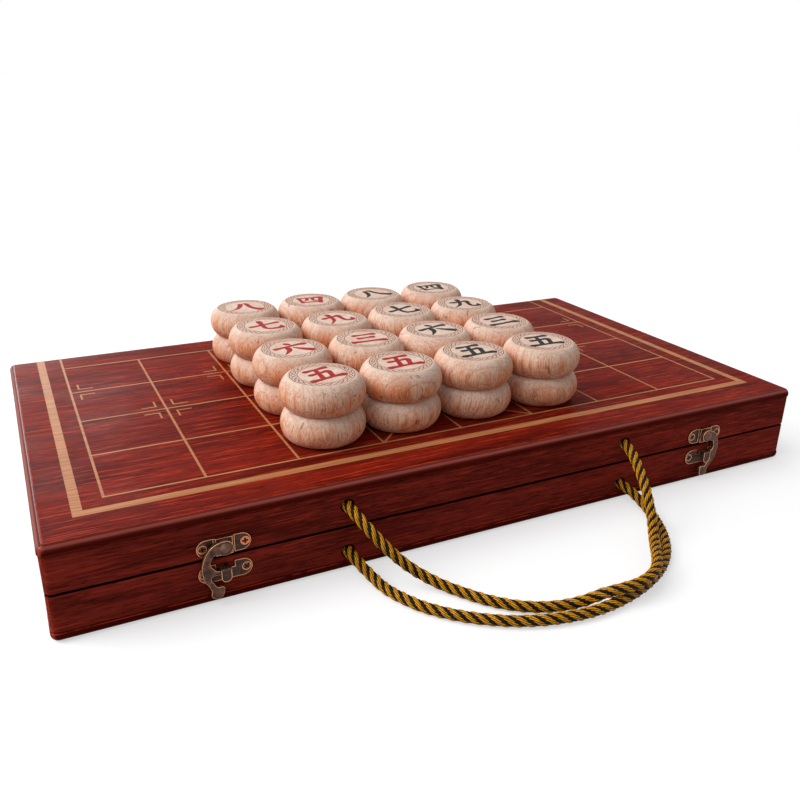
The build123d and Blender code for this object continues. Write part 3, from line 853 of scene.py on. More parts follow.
def board_bars(fold):
    """Every bar of ink on one half. fold is where the print ends at the fold."""
    bars = []
    half = LINE / 2
    for file in range(FILES):
        x, y = crossing(file, 0)
        end = fold if file in (0, FILES - 1) else crossing(0, RANKS - 1)[1]
        bars.append(bar((x, y - half), (x, end), LINE))
    for rank in range(RANKS):
        y = crossing(0, rank)[1]
        bars.append(bar((FIRST_FILE - half, y), (-FIRST_FILE + half, y), LINE))
    bars.append(bar(crossing(3, 0), crossing(5, 2), LINE))
    bars.append(bar(crossing(5, 0), crossing(3, 2), LINE))
    inner, outer = BORDER_SIDE
    near, far = BORDER_FRONT
    middle = -FIRST_FILE + (inner + outer) / 2
    for side in (-1, 1):
        bars.append(bar((side * middle, FIRST_RANK - far), (side * middle, fold), outer - inner))
    y = FIRST_RANK - (near + far) / 2
    bars.append(bar((-middle, y), (middle, y), far - near))
    for file, rank in CANNON_PLACES + SOLDIER_PLACES:
        bars += corner_mark(file, rank)
    return bars


print("print of one half:", len(board_bars(CASE_DEPTH / 2)), "bars")

# %% [markdown]
# ## Printing the board
#
# The print is pale tan ink that lets a little of the grain through. It is a sheet of triangles a hair
# above each panel, so it stays sharp in any picture size. The lower tray's sheet looks down, so its
# corners run the other way round.


# %% Board print
INK_HEIGHT = 0.04


def board_ink_material():
    material, tree, shader, place = new_material("board_ink")
    along = noise(tree, place, (38, 1.1, 1.1), seed=12.0, detail=4.0, roughness=0.6)
    colour = blend(tree, steps(tree, along, 0.34, 0.68), srgb(184, 124, 80), srgb(156, 98, 60))
    wear(tree, shader, {"Base Color": colour, "Roughness": 0.32, "Specular IOR Level": 0.02})
    return material


def print_board(name, body, height, flip):
    points, triangles, inside = cut_plane(board_bars(CASE_DEPTH / 2 - PANEL_EDGE))
    sheet = bmesh.new()
    placed = [sheet.verts.new(Vector((p.x, p.y, height)) * MM) for p in points]
    for corners, ids in zip(triangles, inside):
        if ids:
            order = reversed(corners) if flip else corners
            sheet.faces.new([placed[i] for i in order])
    loose = [v for v in sheet.verts if not v.link_faces]
    bmesh.ops.delete(sheet, geom=loose, context="VERTS")
    mesh = bpy.data.meshes.new(name)
    sheet.to_mesh(mesh)
    sheet.free()
    new_piece(name, mesh, [board_ink], body)
    print(name, len(mesh.polygons), "triangles")


board_ink = board_ink_material()
print_board("lid_board_print", "upper_half", CASE_HEIGHT + INK_HEIGHT, flip=False)
print_board("base_board_print", "lower_half", -INK_HEIGHT, flip=True)

# %% [markdown]
# ## Brush numerals
#
# Each piece carries one brush-drawn Chinese numeral, the same one for every piece of a rank. A brush
# stroke is a centre line whose width swells and thins, so a stroke is a list of points with a width at
# each. Between them a smooth curve is drawn, and each short step of it becomes a small quad with a disc
# at its end.

# %% Numerals
NUMERALS = {
    "advisor": [  # three
        [(-0.60, 0.60, 0.13), (-0.20, 0.64, 0.08), (0.35, 0.72, 0.09), (0.62, 0.72, 0.14)],
        [(-0.46, 0.03, 0.12), (0.03, 0.075, 0.08), (0.43, 0.13, 0.13)],
        [(-0.96, -0.66, 0.14), (-0.30, -0.62, 0.09), (0.45, -0.54, 0.10), (0.95, -0.56, 0.16)]],
    "elephant": [  # four
        [(-0.80, 0.56, 0.12), (-0.74, 0.00, 0.08), (-0.66, -0.62, 0.10)],
        [(-0.80, 0.52, 0.08), (0.00, 0.60, 0.08), (0.74, 0.66, 0.14), (0.68, 0.10, 0.10),
         (0.58, -0.62, 0.13)],
        [(-0.24, 0.52, 0.09), (-0.26, 0.12, 0.08), (-0.52, -0.22, 0.03)],
        [(0.16, 0.55, 0.09), (0.16, 0.05, 0.08), (0.26, -0.10, 0.08), (0.48, -0.08, 0.07)],
        [(-0.64, -0.52, 0.08), (0.00, -0.48, 0.08), (0.60, -0.44, 0.09)]],
    "soldier": [  # five
        [(-0.62, 0.76, 0.12), (0.00, 0.80, 0.08), (0.64, 0.86, 0.13)],
        [(0.00, 0.78, 0.10), (-0.10, 0.20, 0.09), (-0.26, -0.60, 0.11)],
        [(-0.62, 0.16, 0.11), (0.00, 0.22, 0.08), (0.50, 0.26, 0.12), (0.44, -0.20, 0.10),
         (0.36, -0.58, 0.12)],
        [(-0.98, -0.72, 0.13), (-0.20, -0.66, 0.09), (0.50, -0.60, 0.10), (0.98, -0.62, 0.15)]],
    "cannon": [  # six
        [(-0.06, 0.96, 0.05), (0.04, 0.82, 0.12), (0.14, 0.66, 0.09)],
        [(-0.94, 0.26, 0.12), (-0.20, 0.34, 0.08), (0.50, 0.42, 0.10), (0.94, 0.40, 0.15)],
        [(-0.22, 0.08, 0.13), (-0.36, -0.36, 0.10), (-0.86, -0.86, 0.03)],
        [(0.16, 0.04, 0.05), (0.40, -0.30, 0.11), (0.86, -0.80, 0.17)]],
    "horse": [  # seven
        [(-0.94, -0.04, 0.12), (-0.20, 0.12, 0.09), (0.50, 0.30, 0.10), (0.88, 0.38, 0.13)],
        [(-0.14, 0.92, 0.14), (-0.16, 0.10, 0.10), (-0.16, -0.50, 0.10), (0.10, -0.76, 0.10),
         (0.60, -0.78, 0.11), (0.88, -0.66, 0.13), (0.90, -0.30, 0.03)]],
    "chariot": [  # eight
        [(-0.24, 0.66, 0.12), (-0.32, 0.10, 0.11), (-0.54, -0.40, 0.09), (-0.94, -0.76, 0.03)],
        [(0.00, 0.80, 0.06), (0.16, 0.70, 0.11), (0.34, 0.00, 0.11), (0.62, -0.46, 0.14),
         (0.98, -0.74, 0.18)]],
    "general": [  # nine
        [(-0.16, 0.90, 0.13), (-0.20, 0.30, 0.10), (-0.42, -0.40, 0.08), (-0.88, -0.88, 0.03)],
        [(-0.80, 0.28, 0.12), (0.00, 0.40, 0.08), (0.36, 0.46, 0.13), (0.32, -0.10, 0.10),
         (0.34, -0.60, 0.10), (0.60, -0.76, 0.11), (0.88, -0.66, 0.12), (0.92, -0.28, 0.03)]],
}
STROKE_STEPS = 6
STROKE_CORNERS = 10
SHORTEST_STEP = 1e-6
BRUSH = 1.5  # how much thicker the brush is than the widths in the list


def smooth_stroke(points):
    """A Catmull-Rom curve through the points of a stroke, width included."""
    padded = [points[0], *points, points[-1]]
    curve = []
    for p0, p1, p2, p3 in zip(padded, padded[1:], padded[2:], padded[3:]):
        for i in range(STROKE_STEPS):
            t = i / STROKE_STEPS
            curve.append(tuple(
                0.5 * (2 * b + (c - a) * t + (2 * a - 5 * b + 4 * c - d) * t**2
                       + (3 * b - a - 3 * c + d) * t**3) for a, b, c, d in zip(p0, p1, p2, p3)))
    curve.append(points[-1])
    return curve


def stroke_shapes(points, size):
    shapes = []
    curve = [(x * size, y * size, w * size * BRUSH) for x, y, w in smooth_stroke(points)]
    for (x0, y0, w0), (x1, y1, w1) in zip(curve, curve[1:]):
        step = Vector((x1 - x0, y1 - y0))
        if step.length > SHORTEST_STEP:
            side = Vector((-step.y, step.x)).normalized()
            shapes.append([(x0 + side.x * w0, y0 + side.y * w0), (x0 - side.x * w0, y0 - side.y * w0),
                           (x1 - side.x * w1, y1 - side.y * w1), (x1 + side.x * w1, y1 + side.y * w1)])
    for x, y, w in curve:
        shapes.append(circle(w, STROKE_CORNERS, (x, y)))
    return shapes


print("numerals:", ", ".join(NUMERALS))

# %% [markdown]
# ## The face of a piece
#
# Between two thin rings runs a braided band: two wavy lines that cross again and again. Rings, braid and
# numeral are cut into the flat face itself, so each triangle simply takes wood, brown or coloured ink.

# %% Piece faces
FACE_RADIUS = 20.2
RING_OUTER = 19.2
RING_INNER = 14.7
RING_WIDTH = 0.55
BRAIDS = 13
BRAID_STEPS = 12
BRAID_REACH = 1.25
BRAID_WIDTH = 0.58
NUMERAL_SIZE = 11.0
RIM_COUNT = 96
FACE, BROWN, COLOURED, SIDE = 0, 1, 2, 3


def face_shapes(rank):
    """All shapes of one face, with what each one does.

    The rim is wood, a ring's outer circle adds brown ink, its inner circle takes it away again, and strokes
    add coloured ink."""
    shapes, roles = [circle(FACE_RADIUS, RIM_COUNT)], ["rim"]
    for radius in (RING_OUTER, RING_INNER):
        shapes += [circle(radius + RING_WIDTH / 2), circle(radius - RING_WIDTH / 2)]
        roles += [f"ring {radius}", f"hole {radius}"]
    middle = (RING_OUTER + RING_INNER) / 2
    for side in (-1, 1):
        points = []
        for i in range(BRAIDS * BRAID_STEPS):
            angle = 2 * pi * i / (BRAIDS * BRAID_STEPS)
            radius = middle + side * BRAID_REACH * cos(BRAIDS * angle)
            points.append(Vector((radius * cos(angle), radius * sin(angle))))
        for a, b in zip(points, points[1:] + points[:1]):
            shapes.append(bar(a, b, BRAID_WIDTH))
            roles.append("braid")
    for points in NUMERALS[rank]:
        for shape in stroke_shapes(points, NUMERAL_SIZE):
            shapes.append(shape)
            roles.append("stroke")
    return shapes, roles


def face_triangles(rank):
    shapes, roles = face_shapes(rank)
    points, triangles, inside = cut_plane(shapes)
    kept = []
    for corners, ids in zip(triangles, inside):
        found = {roles[i] for i in ids}
        if "rim" not in found:
            continue
        ring = any(f"ring {r}" in found and f"hole {r}" not in found for r in (RING_OUTER, RING_INNER))
        kind = COLOURED if "stroke" in found else BROWN if ring or "braid" in found else FACE
        kept.append((corners, kind))
    return points, kept


faces = {rank: face_triangles(rank) for rank in NUMERALS}
print({rank: len(kept) for rank, (_, kept) in faces.items()})

# %% [markdown]
# ## Turned beech
#
# Beech is pale, with faint growth bands, many short darker flecks and now and then a small brown knot.
# Rings and noises make one layer each, and the group lays them over one another.


# %% Beech group
KNOT_BROWN = srgb(132, 66, 42)


def beech_group():
    group, given, out = new_group("beech", {"Place": "Vector", "Pale": "Color", "Warm": "Color",
                                            "Dark": "Color"}, {"Color": "Color", "Height": "Float"})
    place = given["Place"]
    rings = add(group, "ShaderNodeTexWave", {"Vector": place, "Scale": 62.0, "Distortion": 1.6,
                                             "Detail": 2.0, "Detail Scale": 0.02},
                wave_type="RINGS", rings_direction="X", wave_profile="SAW").outputs["Fac"]
    bands = noise(group, place, (60, 9, 9), seed=1.0, detail=2.0, roughness=0.5, distortion=0.6)
    fibres = noise(group, place, (11, 0.8, 0.8), seed=5.0, detail=3.0, roughness=0.55)
    flecks = noise(group, place, (3.2, 0.42, 0.42), seed=8.0, detail=2.0)
    knots = noise(group, place, (9, 6, 7), seed=3.4, detail=3.0, roughness=0.6, distortion=0.8)
    pale = blend(group, steps(group, bands, 0.34, 0.66), given["Pale"], given["Warm"])
    ringed = blend(group, math(group, "MULTIPLY", steps(group, rings, 0.72, 1.0), 0.3), pale, given["Dark"])
    lined = blend(group, math(group, "MULTIPLY", steps(group, fibres, 0.47, 0.62), 0.4), ringed,
                  given["Dark"])
    fleck = steps(group, flecks, 0.56, 0.68)
    flecked = blend(group, math(group, "MULTIPLY", fleck, 0.75), lined, given["Dark"])
    knot = steps(group, knots, 0.63, 0.71)
    knotted = blend(group, math(group, "MULTIPLY", knot, 0.6), flecked, KNOT_BROWN)
    group.links.new(knotted, out["Color"])
    group.links.new(math(group, "SUBTRACT", 1.0, fleck), out["Height"])
    return group


beech = beech_group()
print("beech group:", len(beech.nodes), "nodes")

# %% [markdown]
# ## Wood and ink for the pieces
#
# Each piece was sawn from another place in the plank, so its mesh carries an attribute with its own turned
# and shifted place in the wood, and the noises read that in place of the object's coordinates. A second
# attribute, `shoulder`, tells how near the face a point is. Below the shoulder the side takes darker,
# warmer tones, a painted shade with painted warm bounce light from the red board; towards the face they
# turn into the face's pale tones. Ink lies on the same wood and is a little thin in places, which one more
# group does for all three inks.


# %% Beech and ink materials
INK_THINNED = 0.82  # share of its cover that ink keeps where it is thin


def ink_group():
    group, given, out = new_group("ink on wood", {
        "Place": "Vector", "Wood": "Color", "Ink": "Color", "Cover": "Float",
    }, {"Color": "Color"})
    patches = noise(group, given["Place"], (1.6, 1.6, 1.6), seed=21.0, detail=4.0)
    thinned = math(group, "MULTIPLY", given["Cover"], INK_THINNED)
    share = steps(group, patches, 0.54, 0.74, given["Cover"], thinned)
    group.links.new(blend(group, share, given["Wood"], given["Ink"]), out["Color"])
    return group


def on_beech(name, tones, ink=None, cover=1.0, shoulder_tones=None):
    material, tree, shader, _ = new_material(name)
    own = add(tree, "ShaderNodeAttribute", attribute_name="place_in_wood").outputs["Vector"]
    wood = add(tree, "ShaderNodeGroup", node_tree=beech)
    if shoulder_tones:
        up = add(tree, "ShaderNodeAttribute", attribute_name="shoulder").outputs["Fac"]
        tones = [blend(tree, up, low, high) for low, high in zip(tones, shoulder_tones)]
    wear(tree, wood, {"Place": own, "Pale": tones[0], "Warm": tones[1], "Dark": tones[2]})
    colour = wood.outputs["Color"]
    if ink:
        inked = add(tree, "ShaderNodeGroup", node_tree=ink_on_wood)
        wear(tree, inked, {"Place": own, "Wood": colour, "Ink": ink, "Cover": cover})
        colour = inked.outputs["Color"]
    wear(tree, shader, {"Base Color": colour, "Roughness": 0.55, "Specular IOR Level": 0.08})
    bump(tree, shader, wood.outputs["Height"], 0.04, 0.5)
    return material


ink_on_wood = ink_group()
# the side's tones carry painted shade and painted warm bounce light from the red board
SIDE_TONES = srgb(240, 193, 162), srgb(232, 153, 109), srgb(164, 72, 36)
FACE_TONES = srgb(223, 202, 187), srgb(213, 186, 168), srgb(184, 140, 114)
beech_wood = on_beech("beech_wood", SIDE_TONES, shoulder_tones=FACE_TONES)
face_wood = on_beech("face_wood", FACE_TONES)
brown_ink = on_beech("brown_ink", FACE_TONES, srgb(112, 46, 20), 0.95)
red_ink = on_beech("red_ink", FACE_TONES, srgb(152, 2, 14))
black_ink = on_beech("black_ink", FACE_TONES, srgb(14, 10, 12))
print("on beech:", ", ".join(m.name for m in (beech_wood, face_wood, brown_ink, red_ink, black_ink)))

# %% [markdown]
# ## Turning the pieces
#
# A piece is a lathe shape: a flat foot, a bulging side and a soft corner up to the printed face. Its
# profile is an arc, with a small fillet where it meets the faces. The print's outermost circle is the
# same as the profile's last ring, so the two are stitched along it.


# %% Shape of a piece
PIECE_RADIUS = 25.0
PIECE_HEIGHT = 19.0
SIDE_STEPS = 18
CORNER_DROP = 0.55   # how much the corner is eased inwards
CORNER_HEIGHT = 1.6  # and how far down the side
WELD = 0.004         # points nearer than this are one


def side_profile():
    """Radius and height of the side from the foot to the printed face."""
    half = PIECE_HEIGHT / 2
    bulge = PIECE_RADIUS - FACE_RADIUS
    arc = (half**2 + bulge**2) / (2 * bulge)
    profile = []
    for i in range(SIDE_STEPS + 1):
        z = -half + PIECE_HEIGHT * i / SIDE_STEPS
        radius = PIECE_RADIUS - arc + sqrt(arc**2 - z**2)
        near = max(0.0, 1 - (half - abs(z)) / CORNER_HEIGHT)
        profile.append((radius - CORNER_DROP * near**2, z + half))
    return profile


def piece_shape(rank):
    """The piece in millimetres, standing on its foot at the origin."""
    made = bmesh.new()
    points, kept = faces[rank]
    profile = side_profile()
    scale = profile[-1][0] / FACE_RADIUS
    top = [made.verts.new((p.x * scale, p.y * scale, PIECE_HEIGHT)) for p in points]
    for corners, kind in kept:
        face = made.faces.new([top[i] for i in corners])
        face.material_index = kind
    rings = []
    for radius, z in profile[:-1]:
        rings.append([made.verts.new((radius * cos(2 * pi * i / RIM_COUNT),
                                      radius * sin(2 * pi * i / RIM_COUNT), z)) for i in range(RIM_COUNT)])
    rings.append([made.verts.new((p[0] * scale, p[1] * scale, PIECE_HEIGHT))
                  for p in circle(FACE_RADIUS, RIM_COUNT)])
    for lower, upper in zip(rings, rings[1:]):
        for i in range(RIM_COUNT):
            j = (i + 1) % RIM_COUNT
            face = made.faces.new((lower[i], lower[j], upper[j], upper[i]))
            face.smooth = True
            face.material_index = SIDE
    made.faces.new(list(reversed(rings[0]))).material_index = SIDE
    loose = [v for v in made.verts if not v.link_faces]
    bmesh.ops.delete(made, geom=loose, context="VERTS")
    bmesh.ops.remove_doubles(made, verts=made.verts, dist=WELD)
    return made


print("profile from", side_profile()[0], "to", side_profile()[-1])

# %% [markdown]
# ## Setting out the 32 pieces
#
# Every piece takes its place and its colour from the frame. It is turned a little about its own axis, as
# by hand, and gets its own place in the plank, with the grain lying across it. One seed for each piece
# keeps that the same on every run.


# %% Pieces
# below this share the side keeps its darker, warmer tones, which are painted shade and painted bounce light
SHOULDER = 0.5        # share of the height below which the side keeps its own tones
HAND_TURN = 0.2       # radians
GRAIN_LEAN = 0.35
PLANK = (200, 40, 40)  # half sizes of the plank that the pieces come from
FIRST_SEED = 100


def turn_piece(name, rank, body, ink, seed):
    chance = random.Random(seed)
    low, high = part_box(name)
    centre = (low + high) / 2
    spin = Matrix.Rotation(chance.uniform(-HAND_TURN, HAND_TURN), 3, "Z")
    made = piece_shape(rank)
    in_wood = made.verts.layers.float_vector.new("place_in_wood")
    roll = Matrix.Rotation(chance.uniform(0, 2 * pi), 3, "X")
    lean = Matrix.Rotation(pi / 2 + chance.uniform(-GRAIN_LEAN, GRAIN_LEAN), 3, "Y")
    turn = roll @ lean @ Matrix.Rotation(chance.uniform(0, 2 * pi), 3, "Z")
    shift = Vector([chance.uniform(-reach, reach) for reach in PLANK])
    shoulder = made.verts.layers.float.new("shoulder")
    for vertex in made.verts:
        vertex[in_wood] = (turn @ vertex.co + shift) * MM
        vertex[shoulder] = max(0.0, vertex.co.z / PIECE_HEIGHT - SHOULDER) / (1 - SHOULDER)
    for vertex in made.verts:
        vertex.co = (spin @ vertex.co + Vector((0, 0, -PIECE_HEIGHT / 2))) * MM + centre
    mesh = bpy.data.meshes.new(name + "_turned")
    made.to_mesh(mesh)
    made.free()
    materials = [face_wood, brown_ink, ink, beech_wood]
    new_piece(name + "_turned", mesh, materials, body, [name])
    return len(mesh.polygons)


piece_names = [n for n in NODES if n.split("_")[0] in ("red", "black")]
counted = 0
for number, name in enumerate(sorted(piece_names)):
    colour, rank, _ = name.split("_")
    ink = red_ink if colour == "red" else black_ink
    counted += turn_piece(name, rank, name, ink, FIRST_SEED + number)
print(len(piece_names), "pieces,", counted, "faces")

# %% [markdown]
# ## Worn bronze
#
# The latches are steel plated with dark antique bronze. Where fingers and cloth rub, the plating has gone
# and bright copper shows: on every edge and on high spots. So each fitting is a copy of the solid with
# its sharp edges rounded off, and the new narrow faces along the edges are marked `worn`. The material
# reads that mark.


# %% Rounding and marking edges
SHARP = 0.5        # radians between two faces, past which their edge is rounded
SAME_PLACE = 1e-6  # metres
FLAT = 0.01        # radians, below which two faces are one
RUBBED = 0.7       # wear just inside the outline, where an edge has 1
FRONT = -0.95      # y of a normal, below which its face is part of the front


def soften(name, width, segments, rub):
    """A copy of a node's mesh with rounded, marked edges. On the front the wear reaches in by rub."""
    node = NODES[name]
    made = bmesh.new()
    made.from_mesh(node.data)
    worn = made.faces.layers.float.new("worn")
    bmesh.ops.remove_doubles(made, verts=made.verts, dist=SAME_PLACE)
    bmesh.ops.dissolve_limit(made, angle_limit=FLAT, verts=made.verts, edges=made.edges)
    for face in made.faces:
        face.smooth = len(face.edges) < 5
    edges = [e for e in made.edges if e.is_manifold and e.calc_face_angle(0.0) > SHARP]
    rim = bmesh.ops.bevel(made, geom=edges, offset=width * MM, segments=segments, profile=0.5,
                          affect="EDGES", clamp_overlap=True)
    for face in rim["faces"]:
        face[worn] = 1.0
        face.smooth = True
    if rub:
        front = [f for f in made.faces if f.normal.y < FRONT and not f[worn]]
        inner = bmesh.ops.inset_region(made, faces=front, thickness=rub * MM, use_boundary=True,
                                       use_even_offset=False)
        for face in inner["faces"]:
            face[worn] = RUBBED
    bmesh.ops.triangulate(made, faces=[f for f in made.faces if len(f.verts) > 4])
    mesh = bpy.data.meshes.new(name + "_worn")
    made.to_mesh(mesh)
    made.free()
    return mesh


def place_softened(name, material, width, segments=2, rub=0.0):
    mesh = soften(name, width, segments, rub)
    new_piece(name + "_worn", mesh, [material], body_of(NODES[name])[0], [name])
    return len(mesh.polygons)


print("edges sharper than", SHARP, "radians are rounded")

# %% [markdown]
# ## Dark pockets and rubbed bronze
#
# The plating is a dark brown that turns nearly black where grime sits, with copper on the worn faces and
# in a few scuffs. Bare metal is smoother and more metallic, so the same mask drives colour, roughness and
# metallic.
#
# The screws sit in countersunk pockets, darkened with painted shade. All eight sit at the same distances
# from the latches' middles, so one formula gives how far any point is from its nearest screw.


# %% Bronze materials
LATCH_MIDDLE = 3.0
LATCH_HALF_SPACING = 159.5
SCREW_HALF_SPACING = 10.7
CATCH_HEIGHT = 17.8
HOOK_PLATE_HEIGHT = 32.6
POCKET_RADIUS = 2.75


def bronze_group():
    group, given, out = new_group("worn bronze", {
        "Place": "Vector", "Worn": "Float", "Plate": "Color", "Bare": "Color", "Grime": "Color",
        "Pocket": "Float",
    }, {"Color": "Color", "Roughness": "Float", "Metallic": "Float", "Height": "Float"})
    place = given["Place"]
    patches = noise(group, place, (3.5, 3.5, 3.5), seed=2.0, detail=4.0, roughness=0.6)
    grain_dots = noise(group, place, (0.35, 0.35, 0.35), seed=5.0, detail=2.0)
    scuffs = noise(group, place, (1.2, 1.2, 0.3), seed=8.0, detail=3.0)
    rub = math(group, "MULTIPLY", given["Worn"], steps(group, patches, 0.2, 0.5, 0.75, 1.0))
    spots = math(group, "MULTIPLY", steps(group, scuffs, 0.58, 0.72), 0.35)
    bare = math(group, "MAXIMUM", rub, spots)
    tone = blend(group, steps(group, patches, 0.35, 0.65), given["Plate"], given["Grime"])
    # painted shade: in the screws' pockets the plating darkens towards the grime and shade colour
    pocket_painted_shade = blend(group, math(group, "MULTIPLY", given["Pocket"], 0.85), tone, given["Grime"])
    colour = blend(group, bare, pocket_painted_shade, given["Bare"])
    group.links.new(colour, out["Color"])
    group.links.new(steps(group, bare, 0.0, 1.0, 0.5, 0.3), out["Roughness"])
    group.links.new(steps(group, bare, 0.0, 1.0, 0.35, 0.85), out["Metallic"])
    group.links.new(grain_dots, out["Height"])
    return group


# the mask of the painted shade in the screws' pockets
def near_screw(tree, place):
    """1 in a screw's pocket, 0 outside it."""
    x, _, z = add(tree, "ShaderNodeSeparateXYZ", {0: place}).outputs
    x = math(tree, "ABSOLUTE", math(tree, "SUBTRACT", x, LATCH_MIDDLE * MM))
    x = math(tree, "ABSOLUTE", math(tree, "SUBTRACT", x, LATCH_HALF_SPACING * MM))
    x = math(tree, "SUBTRACT", x, SCREW_HALF_SPACING * MM)
    z = math(tree, "ABSOLUTE", math(tree, "SUBTRACT", z, (CATCH_HEIGHT + HOOK_PLATE_HEIGHT) / 2 * MM))
    z = math(tree, "SUBTRACT", z, (HOOK_PLATE_HEIGHT - CATCH_HEIGHT) / 2 * MM)
    flat = add(tree, "ShaderNodeCombineXYZ", {0: x, 1: z}).outputs[0]
    away = add(tree, "ShaderNodeVectorMath", {0: flat}, operation="LENGTH").outputs["Value"]
    return steps(tree, away, (POCKET_RADIUS + 0.2) * MM, (POCKET_RADIUS - 0.3) * MM)


bronze = bronze_group()
print("bronze group:", len(bronze.nodes), "nodes")

# %% [markdown]
# ## Plates, hooks, leaves, rivets and pins
#
# The plates are the darkest, with painted shade in the pockets round their screws. The hooks are handled
# most, and the rivets are a lighter bronze. The hinge leaves at the back hardly wear, and their pins are
# bare steel.


# %% Latches and hinges
def bronze_material(name, plate, bare, grime, pockets=False):
    material, tree, shader, place = new_material(name)
    worn = add(tree, "ShaderNodeAttribute", attribute_name="worn").outputs["Fac"]
    metal = add(tree, "ShaderNodeGroup", node_tree=bronze)
    wear(tree, metal, {"Place": place, "Worn": worn, "Plate": plate, "Bare": bare, "Grime": grime,
                       "Pocket": near_screw(tree, place) if pockets else 0.0})
    wear(tree, shader, {"Base Color": metal.outputs["Color"], "Roughness": metal.outputs["Roughness"],
                        "Metallic": metal.outputs["Metallic"], "Specular IOR Level": 0.35})
    bump(tree, shader, metal.outputs["Height"], 0.03, 0.4)
    return material


plate_bronze = bronze_material("plate_bronze", srgb(76, 46, 34), srgb(248, 172, 120), srgb(26, 15, 12),
                               pockets=True)
hook_bronze = bronze_material("hook_bronze", srgb(108, 72, 56), srgb(248, 172, 120), srgb(52, 33, 26))
rivet_bronze = bronze_material("rivet_bronze", srgb(134, 94, 74), srgb(232, 164, 122), srgb(92, 62, 50))
leaf_bronze = bronze_material("leaf_bronze", srgb(96, 68, 54), srgb(206, 138, 96), srgb(40, 28, 22))
pin_steel = bronze_material("pin_steel", srgb(120, 118, 116), srgb(190, 188, 184), srgb(80, 78, 76))

counted = 0
for side in ("left", "right"):
    counted += place_softened(f"{side}_hook_plate", plate_bronze, 0.55, rub=0.3)
    counted += place_softened(f"{side}_catch", plate_bronze, 0.42, rub=0.3)
    counted += place_softened(f"{side}_hook", hook_bronze, 0.75, segments=3)
for half in ("lid", "base"):
    counted += place_softened(f"{half}_hinge_leaves", leaf_bronze, 0.15)
finish_node("hook_rivets", rivet_bronze)
finish_node("hinge_pins", pin_steel)
print("softened fittings:", counted, "faces")

# %% [markdown]
# ## Cross-recessed screws
#
# One screw is modelled: a low dome with a cross pressed into it, a seat, a shank and a point. The dome is
# a square grid pushed out to a disc, because such a grid is fine enough for the cross everywhere and has
# no pole.


# %% One screw
HEAD_RADIUS = 2.0
HEAD_STEPS = 56
DOME = 0.2             # how far the middle stands out
ROUND_OFF = 0.86       # share of the radius at which the head curves back
ROUND_DEPTH = 0.22
CROSS_HALF_WIDTH = 0.58
CROSS_REACH = 1.6
CROSS_DEPTH = 0.5
CROSS_SLOPES = (0.16, 0.3)  # run of the cross's walls, beside its arms and at their ends
SHANK = ((1.0, 0.9), (1.0, 5.5), (0.02, 6.5))  # radius and depth of the seat, the shank and the point


def sunk(x, z):
    """0 on the dome, 1 deep in the cross."""
    arm, reach = min(abs(x), abs(z)), max(abs(x), abs(z))
    across = max(0.0, min(1.0, (CROSS_HALF_WIDTH - arm) / CROSS_SLOPES[0]))
    along = max(0.0, min(1.0, (CROSS_REACH - reach) / CROSS_SLOPES[1]))
    return across * along


def head_point(i, j):
    """A point of the square grid, pushed out to the disc and onto the dome."""
    u, v = 2 * i / HEAD_STEPS - 1, 2 * j / HEAD_STEPS - 1
    x = u * sqrt(1 - v * v / 2) * HEAD_RADIUS
    z = v * sqrt(1 - u * u / 2) * HEAD_RADIUS
    share = sqrt(x * x + z * z) / HEAD_RADIUS
    edge = ROUND_DEPTH * max(0.0, (share - ROUND_OFF) / (1 - ROUND_OFF)) ** 2
    return Vector((x, -DOME * (1 - share**2) + edge + CROSS_DEPTH * sunk(x, z), z)) * MM


def screw_shape(name):
    """A wood screw whose domed head is at the origin and faces -Y."""
    made = bmesh.new()
    every = range(HEAD_STEPS + 1)
    grid = {(i, j): made.verts.new(head_point(i, j)) for i in every for j in every}
    worn = made.faces.layers.float.new("worn")
    for i in range(HEAD_STEPS):
        for j in range(HEAD_STEPS):
            face = made.faces.new((grid[i, j], grid[i + 1, j], grid[i + 1, j + 1], grid[i, j + 1]))
            face.smooth = True
            middle = face.calc_center_median() / MM
            face[worn] = 1.0 - sunk(middle.x, middle.z)
    for radius, deep in SHANK:
        border = [e for e in made.edges if e.is_boundary]
        grown = bmesh.ops.extrude_edge_only(made, edges=border)["geom"]
        for vertex in [v for v in grown if isinstance(v, bmesh.types.BMVert)]:
            flat = Vector((vertex.co.x, 0, vertex.co.z)).normalized() * radius * MM
            vertex.co = Vector((flat.x, deep * MM, flat.z))
    bmesh.ops.recalc_face_normals(made, faces=made.faces)
    mesh = bpy.data.meshes.new(name)
    made.to_mesh(mesh)
    made.free()
    return bpy.data.objects.new(name, mesh)


head = screw_shape("screw_shape")
print("one screw:", len(head.data.polygons), "faces")

# %% [markdown]
# ## Screws at points
#
# Geometry Nodes sets a copy of the screw at every point of a small mesh. Each point says how far its
# screw is turned, which way it faces and how bright it is, and the brightness goes on to the copy, so
# that the material can read it.


# %% Screw tree and finish
def named_number(tree, name):
    return add(tree, "GeometryNodeInputNamedAttribute", {"Name": name}, data_type="FLOAT").outputs[0]


